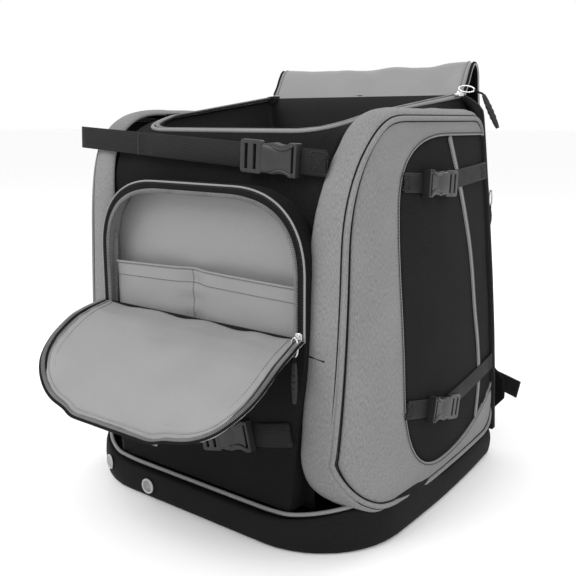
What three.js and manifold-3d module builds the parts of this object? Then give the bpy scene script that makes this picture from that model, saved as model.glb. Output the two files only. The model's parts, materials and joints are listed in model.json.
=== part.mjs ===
// Ski boot bag: a rucksack with a boot compartment on each side, a main compartment under a fold-back
// lid, and a front pocket whose flap hangs open. Millimetres, +Z up. -Y is the pocket side, +Y the side
// against the wearer's back. The origin is on the floor under the middle of the base.
import * as THREE from "three";
import { mergeVertices } from "three/addons/utils/BufferGeometryUtils.js";
import Module from "manifold-3d";

const wasm = await Module();
wasm.setup();

// ---------------------------------------------------------------- driving dimensions
const HALF_WIDTH = 205; // to the outside of the boot compartments
const FRONT = 193; // from the origin to the front of the boot compartments
const BACK = 185; // from the origin to the wearer's back, at the base
const BACK_TOP = 140; // the same at the top: the back leans forwards
const BOOT_TOP = 443; // top of the boot compartments
const BACK_FOOT = 60; // height at which the back starts to lean
const TAPER = 15; // how much less the half width is at the back
const FRONT_CORNER = 67;
const REAR_CORNER = 35;
const TOP_NARROWING = 0.08; // share of the width lost at the top
const WALL = 4; // fabric with its foam and lining
const GAP = 0.4; // between pieces that touch
const BASE_TOP = 33; // height of the moulded base in the middle
const BASE_PROUD = 3; // how far the base stands out at the sides and the back
const BASE_FRONT = 201; // the same as FRONT for the base, which has rounder corners
const BASE_CORNER = 102;
const BASE_CORNER_TOP = 50;
const PANEL_Y = -164; // the black front panel
const PANEL_HALF = 140; // its half width, where the boot compartments start
const PANEL_HALF_TOP = 158;
const POCKET_HALF = 147;
const POCKET_Y = -188; // front of the pocket
const POCKET_FOOT = 39;
const POCKET_TOP = 368;
const FLAP_HINGE_Z = 222;
const FLAP_DROP = THREE.MathUtils.degToRad(35); // open flap below the horizontal
const RIM_FRONT_Y = -137;
const RIM_FRONT_Z = 421;
const RIM_SIDE = [-60, 434]; // y, z where the straight side of the rim ends
const RIM_BACK_Z = 460;
const BACK_PANEL_TOP = 465;
const LID_HALF = 148;
const LID_THICK = 3;
const LID_FOLD_GAP = 4; // from the fold line to each half of the lid
const LID_HINGE = [129, 468.5]; // y, z
const LID_FOLD = [152, 508];
const LID_FALL = 208;
const LID_FALL_SLOPE = THREE.MathUtils.degToRad(16);
const WEB = 1.4; // webbing thickness
const WEB_LIFT = 0.4; // webbing over the fabric that it lies on
const REAR_LEAN = Math.atan((BACK - BACK_TOP) / (BOOT_TOP - BACK_FOOT));

// ---------------------------------------------------------------- materials
const shade = (hex, roughness, metalness = 0) =>
  new THREE.MeshStandardMaterial({ color: hex, roughness, metalness });
const greyFabric = () => shade(0x868686, 0.95);
const blackFabric = () => shade(0x1f1f20, 0.95);
const lining = () => shade(0x9a9a9a, 0.55);
const webbing = () => shade(0x1b1b1c, 0.85);
const buckle = () => shade(0x3c3c3d, 0.45);
const metal = () => shade(0xc4c4c6, 0.3, 1);
const rubber = () => shade(0x161617, 0.7);
const greyTrim = () => shade(0x9b9b9b, 0.8);
const ventPlastic = () => shade(0xc9c9c9, 0.6);

// ---------------------------------------------------------------- solids and booleans
function solid(geometry) {
  const bare = geometry.index ? geometry.toNonIndexed() : geometry.clone();
  bare.deleteAttribute("normal");
  bare.deleteAttribute("uv");
  const merged = mergeVertices(bare, 1e-3);
  return new wasm.Manifold(
    new wasm.Mesh({
      numProp: 3,
      vertProperties: merged.attributes.position.array,
      triVerts: new Uint32Array(merged.index.array),
    }),
  );
}

function geometryOf(body) {
  const mesh = body.getMesh();
  const geometry = new THREE.BufferGeometry();
  geometry.setAttribute("position", new THREE.BufferAttribute(mesh.vertProperties, 3));
  geometry.setIndex(new THREE.BufferAttribute(mesh.triVerts, 1));
  return geometry;
}

const union = (...bodies) => bodies.reduce((a, b) => a.add(b));
const common = (...bodies) => bodies.reduce((a, b) => a.intersect(b));
const cut = (body, ...tools) => tools.reduce((a, b) => a.subtract(b), body);

function box(x0, x1, y0, y1, z0, z1) {
  const g = new THREE.BoxGeometry(x1 - x0, y1 - y0, z1 - z0);
  g.translate((x0 + x1) / 2, (y0 + y1) / 2, (z0 + z1) / 2);
  return solid(g);
}

function warped(geometry, move) {
  const p = geometry.attributes.position;
  const v = new THREE.Vector3();
  for (let i = 0; i < p.count; i++) {
    move(v.fromBufferAttribute(p, i));
    p.setXYZ(i, v.x, v.y, v.z);
  }
  return geometry;
}

// The points of a closed path, without the ones that fall on their neighbour.
function loopPoints(path, curveSegments) {
  const raw = path.getPoints(curveSegments);
  return raw.filter((p, i) => p.distanceTo(raw[(i + 1) % raw.length]) > 0.01);
}

// An arc gets twice curveSegments pieces, any other curve curveSegments.
function extruded(shape, depth, curveSegments, steps = 1) {
  const clean = new THREE.Shape(loopPoints(shape, curveSegments));
  clean.holes = shape.holes.map((hole) => new THREE.Path(loopPoints(hole, curveSegments)));
  return new THREE.ExtrudeGeometry(clean, { depth, steps, bevelEnabled: false });
}

// A shape drawn as (y, z), extruded along X from x0 to x1.
function alongX(shape, x0, x1, curveSegments = 5) {
  const g = extruded(shape, x1 - x0, curveSegments);
  return warped(g, (v) => v.set(v.z + x0, v.x, v.y));
}

// A shape drawn as (x, z), extruded along Y from y0 to the greater y1.
function alongY(shape, y0, y1, curveSegments = 1) {
  const g = extruded(shape, y1 - y0, curveSegments);
  return warped(g, (v) => v.set(v.x, y1 - v.z, v.y));
}

function polygon(points) {
  return new THREE.Shape(points.map(([u, v]) => new THREE.Vector2(u, v)));
}

function roundedRect(halfU, halfV, r) {
  const s = new THREE.Shape();
  s.moveTo(-halfU + r, -halfV);
  s.lineTo(halfU - r, -halfV);
  s.absarc(halfU - r, -halfV + r, r, -Math.PI / 2, 0);
  s.lineTo(halfU, halfV - r);
  s.absarc(halfU - r, halfV - r, r, 0, Math.PI / 2);
  s.lineTo(-halfU + r, halfV);
  s.absarc(-halfU + r, halfV - r, r, Math.PI / 2, Math.PI);
  s.lineTo(-halfU, -halfV + r);
  s.absarc(-halfU + r, -halfV + r, r, Math.PI, Math.PI * 1.5);
  return s;
}

// The outline's own points, each moved inwards by inset. The outline runs anticlockwise.
function insetShape(shape, inset) {
  const points = loopPoints(shape, 5);
  const n = points.length;
  const moved = points.map((p, i) => {
    const before = p.clone().sub(points[(i + n - 1) % n]).normalize();
    const after = points[(i + 1) % n].clone().sub(p).normalize();
    const normal = new THREE.Vector2(-before.y - after.y, before.x + after.x).normalize();
    const stretch = 1 / Math.max(0.5, normal.dot(new THREE.Vector2(-after.y, after.x)));
    return p.clone().addScaledVector(normal, inset * stretch);
  });
  return new THREE.Shape(moved);
}

// ---------------------------------------------------------------- the bag's outer form
const bag = new THREE.Group();

function add(name, geometryOrBody, material, parent = bag) {
  const geometry = geometryOrBody.getMesh ? geometryOf(geometryOrBody) : geometryOrBody;
  const mesh = new THREE.Mesh(geometry, material);
  mesh.name = name;
  parent.add(mesh);
  return mesh;
}

const mirrorX = (body) => body.mirror([1, 0, 0]);
const widthShare = (z) => 1 - TOP_NARROWING * Math.max(0, (z - 100) / (BOOT_TOP - 100)) ** 1.6;
const backY = (z) => BACK - Math.max(0, z - BACK_FOOT) * Math.tan(REAR_LEAN);

// Seen from above: a rounded rectangle, a little narrower at the back.
function planShape(inset, front, corner) {
  const a = HALF_WIDTH - inset;
  const f = front - inset;
  const b = BACK - inset;
  const rf = corner - inset;
  const rb = REAR_CORNER - inset;
  const ab = a - TAPER;
  const side = (b - rb - f + rf) / 2;
  const s = new THREE.Shape();
  s.moveTo(-a + rf, -f);
  s.lineTo(a - rf, -f);
  s.absarc(a - rf, -f + rf, rf, -Math.PI / 2, 0);
  s.quadraticCurveTo(a, side, ab, b - rb);
  s.absarc(ab - rb, b - rb, rb, 0, Math.PI / 2);
  s.lineTo(-ab + rb, b);
  s.absarc(-ab + rb, b - rb, rb, Math.PI / 2, Math.PI);
  s.quadraticCurveTo(-a, side, -a, -f + rf);
  s.absarc(-a + rf, -f + rf, rf, Math.PI, Math.PI * 1.5);
  return s;
}

// The bag's form moved inwards by inset, from z0 to z1.
function form(inset, z0, z1, steps, front = FRONT, corner = FRONT_CORNER) {
  const g = extruded(planShape(inset, front, corner), z1 - z0, 3, steps);
  return solid(
    warped(g, (v) => {
      const z = v.z + z0;
      const foot = 1 - 0.02 * Math.max(0, 1 - z / 10);
      v.x *= widthShare(z) * foot;
      v.y *= (v.y > 0 ? backY(z) / BACK : 1) * foot;
      v.z = z;
    }),
  );
}

// How far a corner of radius r has turned inwards at a distance past where it starts.
const roundOff = (r, past) => r - Math.sqrt(Math.max(0, r * r - Math.max(0, past) ** 2));

// Half width of the bag's form at a place on its side.
function sideX(y, z) {
  const yPlan = y > 0 ? (y * BACK) / backY(z) : y;
  const start = -FRONT + FRONT_CORNER;
  const end = BACK - REAR_CORNER;
  const t = THREE.MathUtils.clamp((yPlan - start) / (end - start), 0, 1);
  const along = HALF_WIDTH - TAPER * t * t;
  const corners = roundOff(FRONT_CORNER, start - yPlan) + roundOff(REAR_CORNER, yPlan - end);
  return (along - corners) * widthShare(z);
}

// Rear edge of the boot compartment, where its zip runs.
const REAR_EDGE_TOP = [127, 415];
const REAR_EDGE_FOOT = [167, 75];
const rearEdgeY = (z) =>
  REAR_EDGE_FOOT[0] +
  ((z - REAR_EDGE_FOOT[1]) * (REAR_EDGE_TOP[0] - REAR_EDGE_FOOT[0])) /
    (REAR_EDGE_TOP[1] - REAR_EDGE_FOOT[1]);

// Seen from the side, a boot compartment is a D with its round edge to the front.
function bootOutline() {
  const s = new THREE.Shape();
  s.moveTo(-110, 34);
  s.lineTo(-60, 29);
  s.lineTo(135, 29);
  s.quadraticCurveTo(171, 32, ...REAR_EDGE_FOOT);
  s.lineTo(...REAR_EDGE_TOP);
  s.quadraticCurveTo(124, BOOT_TOP, 95, BOOT_TOP);
  s.lineTo(-85, BOOT_TOP);
  s.bezierCurveTo(-152, BOOT_TOP, -173, 390, -176, 310);
  s.quadraticCurveTo(-181, 190, -187, 100);
  s.quadraticCurveTo(-178, 42, -110, 34);
  return s;
}

const bootD = (inset, x0, x1) => solid(alongX(insetShape(bootOutline(), inset), x0, x1));

// Half width of the front panel at each height, where the boot compartments begin.
const PANEL_EDGE = [
  [PANEL_HALF, 0],
  [PANEL_HALF, 290],
  [PANEL_HALF + 6, 345],
  [PANEL_HALF_TOP, 410],
  [PANEL_HALF_TOP + 1, 500],
];

// The middle of the bag out to the panel's edge plus extra, as a prism along Y.
function middle(extra, z0, z1) {
  const right = PANEL_EDGE.map(([x, z]) => [x + extra, THREE.MathUtils.clamp(z, z0, z1)]);
  const left = right.map(([x, z]) => [-x, z]).reverse();
  return solid(alongY(polygon([...right, ...left]), -260, 260));
}

// ---------------------------------------------------------------- boot compartments
// A layer that follows the bag's form, from inside to outside millimetres proud of it.
const skin = (outside, inside) => cut(form(-outside, -5, 480, 8), form(-inside, -6, 481, 8));
const doorSkin = skin(0, -WALL);
const gussetCore = form(WALL + GAP, -5, 480, 8);
const besides = cut(box(60, 260, -260, 260, 0, 480), middle(GAP, 0, 500));

const bootDoor = common(doorSkin, bootD(0, 100, 260));
const bootShell = common(cut(bootD(0, 100, 260), bootD(WALL, 90, 270)), gussetCore, besides);

function addBoth(name, right, material) {
  add(name + "_right", right, material());
  add(name + "_left", mirrorX(right), material());
}

addBoth("boot_door", bootDoor, greyFabric);
addBoth("boot_shell", bootShell, greyFabric);

// ---------------------------------------------------------------- main compartment
// The walls between the main and the boot compartments lean out to the top.
const DIVIDER_FOOT = 75;
const dividerX = (z, half) =>
  DIVIDER_FOOT + ((half - DIVIDER_FOOT) * (z - BASE_TOP)) / (400 - BASE_TOP);

function mainOutline(inset) {
  const rear = (z) => rearEdgeY(z) - GAP - inset;
  const s = new THREE.Shape();
  s.moveTo(PANEL_Y + inset, BASE_TOP + GAP + inset);
  s.lineTo(rear(BASE_TOP), BASE_TOP + GAP + inset);
  s.lineTo(rear(RIM_BACK_Z), RIM_BACK_Z + inset);
  s.lineTo(RIM_SIDE[0], RIM_SIDE[1] + inset);
  s.quadraticCurveTo(-110, RIM_FRONT_Z + inset, RIM_FRONT_Y + inset, RIM_FRONT_Z + inset);
  s.quadraticCurveTo(-166 + inset, 388, PANEL_Y + inset, 330);
  return s;
}

function mainShell() {
  const outside = common(solid(alongX(mainOutline(0), -200, 200)), middle(0, 0, 500));
  const half = PANEL_HALF_TOP - WALL;
  const room = solid(
    alongY(
      polygon([
        [-dividerX(BASE_TOP, half), BASE_TOP],
        [dividerX(BASE_TOP, half), BASE_TOP],
        [PANEL_HALF - WALL, 330],
        [half, 410],
        [half, 520],
        [-half, 520],
        [-half, 410],
        [-PANEL_HALF + WALL, 330],
      ]),
      -260,
      260,
    ),
  );
  const inside = common(solid(alongX(mainOutline(WALL), -190, 190)), room);
  const bootRoom = solid(
    alongY(
      polygon([
        [DIVIDER_FOOT + WALL + 1, BASE_TOP + WALL],
        [170, BASE_TOP + WALL],
        [170, 332],
        [PANEL_HALF + WALL / 2, 332],
      ]),
      PANEL_Y + WALL,
      260,
    ),
  );
  const bootSide = common(bootRoom, bootD(WALL + 1, 60, 200));
  return cut(outside, inside, bootSide, mirrorX(bootSide));
}

add("main_shell", mainShell(), blackFabric());

// The padded panel against the wearer's back, from one boot zip to the other.
function backPanel() {
  const slab = solid(
    alongX(
      polygon([
        [rearEdgeY(20) + GAP, 20],
        [260, 20],
        [260, 480],
        [rearEdgeY(480) + GAP, 480],
      ]),
      -260,
      260,
    ),
  );
  const shoulders = solid(
    alongY(
      polygon([
        [-230, BASE_TOP + GAP],
        [230, BASE_TOP + GAP],
        [230, 415],
        [165, 440],
        [152, BACK_PANEL_TOP],
        [-152, BACK_PANEL_TOP],
        [-165, 440],
        [-230, 415],
      ]),
      0,
      260,
    ),
  );
  return common(form(0, 20, 480, 8), slab, shoulders);
}

add("back_panel", backPanel(), blackFabric());

// ---------------------------------------------------------------- base
// Top edge of the base at the front, in front of a place x.
const lipZ = (x) => {
  const far = THREE.MathUtils.clamp((Math.abs(x) - 90) / 100, 0, 1);
  return BASE_TOP + (BASE_CORNER_TOP - BASE_TOP) * far * far;
};

function baseBoot() {
  const outside = form(-BASE_PROUD, 0, BASE_CORNER_TOP + 10, 6, BASE_FRONT, BASE_CORNER);
  const seat = box(-260, 260, -160, 260, BASE_TOP, 120);
  const lipEdge = [-190, -150, -110, -60, 60, 110, 150, 190].map((x) => [x, lipZ(x)]);
  const above = [
    [260, BASE_CORNER_TOP],
    [260, 120],
    [-260, 120],
    [-260, BASE_CORNER_TOP],
  ];
  const lip = solid(alongY(polygon([...lipEdge, ...above]), -260, -159));
  const bootSeat = bootD(-GAP, PANEL_HALF, 260);
  const inFront = box(-260, 260, PANEL_Y - GAP, -150, BASE_TOP, 120);
  return cut(outside, seat, lip, inFront, bootSeat, mirrorX(bootSeat));
}

add("base_boot", baseBoot(), blackFabric());

// ---------------------------------------------------------------- base trim
function tube(points, radius, steps) {
  const ring = new THREE.Shape();
  ring.absarc(0, 0, radius, 0, Math.PI * 2);
  const path = new THREE.CatmullRomCurve3(points.map((p) => new THREE.Vector3(...p)));
  const g = new THREE.ExtrudeGeometry(ring, {
    steps,
    curveSegments: 6,
    bevelEnabled: false,
    extrudePath: path,
  });
  return solid(g);
}

function basePiping() {
  const points = [-135, -90, -45, 0, 45, 90, 135].map((x) => [x, POCKET_Y - 4, lipZ(x) + 3.6]);
  return tube(points, 2, 12);
}

add("base_piping", basePiping(), greyTrim());

const VENT_R = 9;

// A round vent, its face towards -Y in its own frame.
function vent() {
  const face = new THREE.Shape();
  face.absarc(0, 0, VENT_R, 0, Math.PI * 2);
  for (let i = 0; i < 6; i++) {
    const hole = new THREE.Path();
    const angle = (i * Math.PI) / 3;
    hole.absarc(4.5 * Math.cos(angle), 4.5 * Math.sin(angle), 1, 0, Math.PI * 2, true);
    face.holes.push(hole);
  }
  return solid(alongY(face, -1.6, 0, 3));
}

function addVent(name, x, y, z, turn) {
  const mesh = add(name, vent(), ventPlastic());
  mesh.position.set(x, y, z);
  mesh.rotation.z = turn;
}

const BASE_FACE = BASE_FRONT + BASE_PROUD + GAP;
addVent("vent_front", -66, -BASE_FACE, 17, 0);
const VENT_TURN = THREE.MathUtils.degToRad(20);
const baseCornerR = BASE_CORNER + BASE_PROUD;
addVent(
  "vent_corner",
  -(HALF_WIDTH - BASE_CORNER) - (baseCornerR + GAP) * Math.sin(VENT_TURN),
  -(BASE_FRONT - BASE_CORNER) - (baseCornerR + GAP) * Math.cos(VENT_TURN),
  25,
  -VENT_TURN,
);

// ---------------------------------------------------------------- front pocket
function pocketOutline(inset) {
  const h = POCKET_HALF - inset;
  const foot = POCKET_FOOT + inset;
  const top = POCKET_TOP - inset;
  const s = new THREE.Shape();
  s.moveTo(-h + 18, foot);
  s.lineTo(h - 18, foot);
  s.quadraticCurveTo(h - 9, foot + 50, h - 9, foot + 100);
  s.quadraticCurveTo(h, 180, h, FLAP_HINGE_Z);
  s.lineTo(h, 285);
  s.bezierCurveTo(h, 335, h - 30, top, h - 88, top);
  s.lineTo(-h + 88, top);
  s.bezierCurveTo(-h + 30, top, -h, 335, -h, 285);
  s.lineTo(-h, FLAP_HINGE_Z);
  s.quadraticCurveTo(-h, 180, -h + 9, foot + 100);
  s.quadraticCurveTo(-h + 9, foot + 50, -h + 18, foot);
  return s;
}

const POCKET_BACK = PANEL_Y - GAP;
const POCKET_RIM = 9;
const POCKET_WALL = 3;

function pocketShell() {
  const outside = solid(alongY(pocketOutline(0), POCKET_Y, POCKET_BACK, 5));
  const room = solid(
    alongY(pocketOutline(POCKET_WALL), POCKET_Y + POCKET_WALL, POCKET_BACK - POCKET_WALL, 5),
  );
  const mouth = common(
    solid(alongY(pocketOutline(POCKET_RIM), POCKET_Y - 20, POCKET_BACK - POCKET_WALL, 5)),
    box(-200, 200, -260, 0, FLAP_HINGE_Z, 400),
  );
  const boots = bootD(-GAP, PANEL_HALF + GAP, 260);
  // The compartments' walls stay clear of the pocket's room where they narrow it.
  const keep = bootD(-POCKET_WALL, PANEL_HALF - POCKET_WALL, 260);
  const hollow = cut(union(room, mouth), keep, mirrorX(keep));
  return cut(outside, boots, mirrorX(boots), hollow);
}

add("front_pocket_shell", pocketShell(), blackFabric());

const SLEEVE_TOP = 272;
const SLEEVE_FOOT = 118;
const SLEEVE_Y = PANEL_Y - 13;

// Two glove pockets side by side: a front sheet, a middle seam and a floor.
function gloveSleeve() {
  const back = POCKET_BACK - POCKET_WALL - GAP;
  const sheet = box(-131, 131, SLEEVE_Y - 2, SLEEVE_Y, SLEEVE_FOOT, SLEEVE_TOP);
  const seam = box(-15, -12, SLEEVE_Y - 0.5, back, SLEEVE_FOOT, SLEEVE_TOP - 2);
  const floor = box(-131, 131, SLEEVE_Y - 0.5, back, SLEEVE_FOOT, SLEEVE_FOOT + 2);
  return union(sheet, seam, floor);
}

add("glove_sleeve", gloveSleeve(), lining());

// The flap fills the pocket's mouth when it is closed. It hangs open here, lining up.
const FLAP_Y = POCKET_Y - 2;
const FLAP_THICK = 3;

function frontFlap() {
  const closed = common(
    solid(
      alongY(pocketOutline(POCKET_RIM + 1.5), FLAP_Y - FLAP_THICK / 2, FLAP_Y + FLAP_THICK / 2, 5),
    ),
    box(-200, 200, -260, 0, FLAP_HINGE_Z + 3, 400),
  );
  const g = geometryOf(closed);
  g.translate(0, -FLAP_Y, -FLAP_HINGE_Z);
  return g;
}

const flapPivot = new THREE.Group();
flapPivot.position.set(0, FLAP_Y, FLAP_HINGE_Z);
flapPivot.rotation.x = Math.PI / 2 + FLAP_DROP;
bag.add(flapPivot);
add("front_flap", frontFlap(), lining(), flapPivot);

// ---------------------------------------------------------------- lid
// The lid hinges on the back panel's top edge, leans back and folds over behind it.
function lidPanel(start, length, cornerR) {
  const s = new THREE.Shape();
  s.moveTo(-LID_HALF, start);
  s.lineTo(-LID_HALF, length - cornerR);
  s.absarc(-LID_HALF + cornerR, length - cornerR, cornerR, Math.PI, Math.PI / 2, true);
  s.lineTo(LID_HALF - cornerR, length);
  s.absarc(LID_HALF - cornerR, length - cornerR, cornerR, Math.PI / 2, 0, true);
  s.lineTo(LID_HALF, start);
  const g = extruded(s, LID_THICK, 3);
  g.translate(0, 0, -LID_THICK / 2);
  return solid(g);
}

function addLidPanel(name, at, angle, body) {
  const mesh = add(name, body, lining());
  mesh.position.set(0, ...at);
  mesh.rotation.x = angle;
  return mesh;
}

const riseY = LID_FOLD[0] - LID_HINGE[0];
const riseZ = LID_FOLD[1] - LID_HINGE[1];
const rise = lidPanel(2, Math.hypot(riseY, riseZ) - LID_FOLD_GAP, 1);
addLidPanel("lid_rise", LID_HINGE, Math.atan2(riseZ, riseY), rise);
const fall = lidPanel(LID_FOLD_GAP, LID_FALL, 55);
addLidPanel("lid_fall", LID_FOLD, LID_FALL_SLOPE - Math.PI / 2, fall);

// ---------------------------------------------------------------- webbing on the front
// A flat strip in its own frame: along X, its width along Z, its outer face at -Y.
function strip(u0, u1, width, w0, w1, cornerR = 0.5) {
  const g = alongY(roundedRect((u1 - u0) / 2, width / 2, cornerR), -w1, -w0);
  g.translate((u0 + u1) / 2, 0, 0);
  return solid(g);
}

// ---------------------------------------------------------------- side-release buckles
// In a buckle's own frame the mouth is at x = 0, the male half on -X, and the outer face at -Y.
const BUCKLE_LIFT = 3.6; // underside of the male half over the webbing's underside
const MALE_THICK = 5;
const PRONG = 22; // how far the male half reaches into the female half
const FEMALE_LENGTH = 42;

function buckleMale(width) {
  const plate = alongY(roundedRect(14, width / 2 + 4, 3), -BUCKLE_LIFT - MALE_THICK, -BUCKLE_LIFT);
  plate.translate(-15.5, 0, 0);
  const slots = [-24, -13].map((u) => box(u, u + 4, -20, 0, -width / 2, width / 2));
  const y0 = -BUCKLE_LIFT - MALE_THICK + 1;
  const y1 = -BUCKLE_LIFT - 1;
  const arm = width / 2 - 2;
  return union(
    cut(solid(plate), ...slots),
    box(-3, PRONG, y0, y1, -1.5, 1.5),
    box(-3, PRONG, y0, y1, arm - 3, arm),
    box(-3, PRONG, y0, y1, -arm, -arm + 3),
  );
}

function buckleFemale(width) {
  const half = width / 2 + 4;
  const s = new THREE.Shape();
  s.moveTo(0, -half + 3);
  s.lineTo(0, half - 3);
  s.lineTo(14, half - 1);
  s.quadraticCurveTo(28, half - 5, 34, half);
  s.lineTo(FEMALE_LENGTH, half);
  s.lineTo(FEMALE_LENGTH, -half);
  s.lineTo(34, -half);
  s.quadraticCurveTo(28, -half + 5, 14, -half + 1);
  const slot = box(36, 39, -20, 0, -width / 2, width / 2);
  const shell = solid(alongY(s, -BUCKLE_LIFT - MALE_THICK - 2, -BUCKLE_LIFT + 2.4, 4));
  const arm = width / 2 - 1.4;
  const throat = box(-1, PRONG + 3, -BUCKLE_LIFT - MALE_THICK + 0.4, -BUCKLE_LIFT - 0.4, -arm, arm);
  return cut(shell, throat, slot);
}

// A frame on the bag's front with X along a strap, rising by slope to the right.
function strapFrame(x, y, z, slope) {
  const frame = new THREE.Group();
  frame.position.set(x, y, z);
  frame.rotation.y = -slope;
  bag.add(frame);
  return frame;
}

function addBuckle(prefix, width, frame) {
  add(prefix + "_buckle_male", buckleMale(width), buckle(), frame);
  add(prefix + "_buckle_female", buckleFemale(width), buckle(), frame);
}

// ---------------------------------------------------------------- top strap
// The left webbing is sewn to the bag and lies over the long adjusting tail of the male half.
const TOP_WEB = 25;
const TOP_STRAP = { x: 84, y: PANEL_Y - GAP, z: 396.5, slope: -0.055 };
const topStrap = strapFrame(TOP_STRAP.x, TOP_STRAP.y - 1, TOP_STRAP.z, TOP_STRAP.slope);
const UNDER_FEMALE = FEMALE_LENGTH + 1;
addBuckle("top_strap", TOP_WEB, topStrap);
add("top_strap_webbing_right", strip(UNDER_FEMALE, 72, TOP_WEB, 2.4, 2.4 + WEB), webbing(), topStrap);
add("top_strap_webbing_left", strip(-188, -10, TOP_WEB, 1.8, 1.8 + WEB, 5), webbing(), topStrap);
add("top_strap_tail", strip(-288, -10, TOP_WEB, 0, WEB), webbing(), topStrap);

// ---------------------------------------------------------------- lower front strap
// It hangs slack, so its two sides slope down to the buckle.
const LOW_STRAP = { x: 42, y: POCKET_Y - GAP, z: 103, slope: 0.235 };
const lowStrap = strapFrame(LOW_STRAP.x, LOW_STRAP.y, LOW_STRAP.z, LOW_STRAP.slope);
addBuckle("low_strap", TOP_WEB, lowStrap);
const lowRight = strip(UNDER_FEMALE, 92, TOP_WEB, WEB_LIFT, WEB_LIFT + WEB);
add("low_strap_webbing_right", lowRight, webbing(), lowStrap);
const LOW_LEFT_FROM = [6, 92]; // x, z under the male half
const LOW_LEFT_TO = [-134, 118];
const lowRun = [LOW_LEFT_FROM[0] - LOW_LEFT_TO[0], LOW_LEFT_FROM[1] - LOW_LEFT_TO[1]];
const lowLeft = strapFrame(
  LOW_LEFT_FROM[0],
  LOW_STRAP.y,
  LOW_LEFT_FROM[1],
  Math.atan2(lowRun[1], lowRun[0]),
);
const lowLeftStrip = strip(-Math.hypot(...lowRun), 0, TOP_WEB, WEB_LIFT, WEB_LIFT + WEB);
add("low_strap_webbing_left", lowLeftStrip, webbing(), lowLeft);

// ---------------------------------------------------------------- boot door straps and trim
const SIDE_WEB = 20;
const SIDE_LIFT = 1.9; // the straps pass over the side stripe
const SIDE_STRAPS = [
  { name: "upper", front: [-93, 372], mouth: [-14, 367], rear: [126, 373] }, // y, z
  { name: "lower", front: [-90, 138], mouth: [-6, 118], rear: [158, 131] },
];

// A band on the boot door between two places (y, z), lying on the bag's form.
function doorBand(from, to) {
  const dy = to[0] - from[0];
  const dz = to[1] - from[1];
  const half = SIDE_WEB / 2 / Math.hypot(dy, dz);
  const across = [-dz * half, dy * half];
  const outline = polygon([
    [from[0] - across[0], from[1] - across[1]],
    [to[0] - across[0], to[1] - across[1]],
    [to[0] + across[0], to[1] + across[1]],
    [from[0] + across[0], from[1] + across[1]],
  ]);
  return common(skin(SIDE_LIFT + WEB, SIDE_LIFT), solid(alongX(outline, 120, 260)));
}

// The buckle's frame on a door: X runs forwards along the strap and -Y points out of the bag.
function sideFrame({ front, mouth }, sign) {
  const [y, z] = mouth;
  const ahead = sideX(y + 16, z);
  const behind = sideX(y - 44, z);
  const turn = Math.atan2(behind - ahead, 60);
  const rise = Math.atan2(front[1] - z, y - front[0]);
  const along = new THREE.Vector3(sign * Math.sin(turn), -Math.cos(turn), Math.sin(rise)).normalize();
  const outward = new THREE.Vector3(sign, 0, 0);
  outward.addScaledVector(along, -outward.dot(along)).normalize();
  const inward = outward.negate();
  const up = along.clone().cross(inward);
  const frame = new THREE.Group();
  frame.matrixAutoUpdate = false;
  frame.matrix.makeBasis(along, inward, up).setPosition(sign * (sideX(y, z) + WEB), y, z);
  bag.add(frame);
  return frame;
}

function addSideStrap(strap, sign) {
  const prefix = "side_strap_" + strap.name + (sign > 0 ? "_right" : "_left");
  const [y, z] = strap.mouth;
  const share = UNDER_FEMALE / (y - strap.front[0]);
  const frontEnd = [y - UNDER_FEMALE, z + (strap.front[1] - z) * share];
  const rearEnd = [y + 8, z]; // under the male half
  const place = (body) => (sign > 0 ? body : mirrorX(body));
  add(prefix + "_webbing_front", place(doorBand(strap.front, frontEnd)), webbing());
  add(prefix + "_webbing_rear", place(doorBand(rearEnd, strap.rear)), webbing());
  addBuckle(prefix, SIDE_WEB, sideFrame(strap, sign));
}

for (const sign of [1, -1]) SIDE_STRAPS.forEach((strap) => addSideStrap(strap, sign));

const STRIPE_HALF = 5;
const STRIPE = [
  [16, 415],
  [47, 351],
  [73, 283],
  [88, 212],
  [101, 163],
  [107, 116],
  [100, 72],
];

// The grey tape that runs down each boot door, under both straps.
function sideStripe() {
  const curve = new THREE.SplineCurve(STRIPE.map(([y, z]) => new THREE.Vector2(y, z)));
  const left = [];
  const right = [];
  for (let i = 0; i <= 12; i++) {
    const p = curve.getPoint(i / 12);
    const t = curve.getTangent(i / 12);
    left.push([p.x - t.y * STRIPE_HALF, p.y + t.x * STRIPE_HALF]);
    right.push([p.x + t.y * STRIPE_HALF, p.y - t.x * STRIPE_HALF]);
  }
  const outline = polygon([...left, ...right.reverse()]);
  return common(skin(1.5, 0.4), solid(alongX(outline, 120, 260)));
}

addBoth("side_stripe", sideStripe(), greyTrim);

// ---------------------------------------------------------------- zip sliders and pulls
// A slider in its own frame: runs along Z, its outer face at -Y.
function slider() {
  const body = solid(alongY(roundedRect(4, 6, 2), -4, 0));
  return union(body, box(-1.2, 1.2, -6.5, -3.8, -4, 4));
}

// A pull hangs down from the slider's loop: a metal loop and a grip at the end of a short cord.
function pull(length) {
  const ring = roundedRect(4, 9, 3.5);
  const hole = new THREE.Path();
  hole.absellipse(0, 0, 2, 6.5, 0, Math.PI * 2, true);
  ring.holes.push(hole);
  const loop = alongY(ring, -1, 1, 3);
  loop.translate(0, 0, -9);
  return union(
    solid(loop),
    box(-1, 1, -1, 1, -length + 26, -16),
    box(-3.5, 3.5, -2.2, 2.2, -length, -length + 28),
  );
}

function addZip(prefix, at, turn, length) {
  const frame = new THREE.Group();
  frame.position.set(...at);
  frame.rotation.z = turn;
  bag.add(frame);
  add(prefix + "_slider", slider(), metal(), frame);
  const hung = add(prefix + "_pull", pull(length), rubber(), frame);
  hung.position.set(0, -9.2, 2);
}

addZip("front_zip", [142, POCKET_Y - GAP, FLAP_HINGE_Z + 4], 0, 66);

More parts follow.
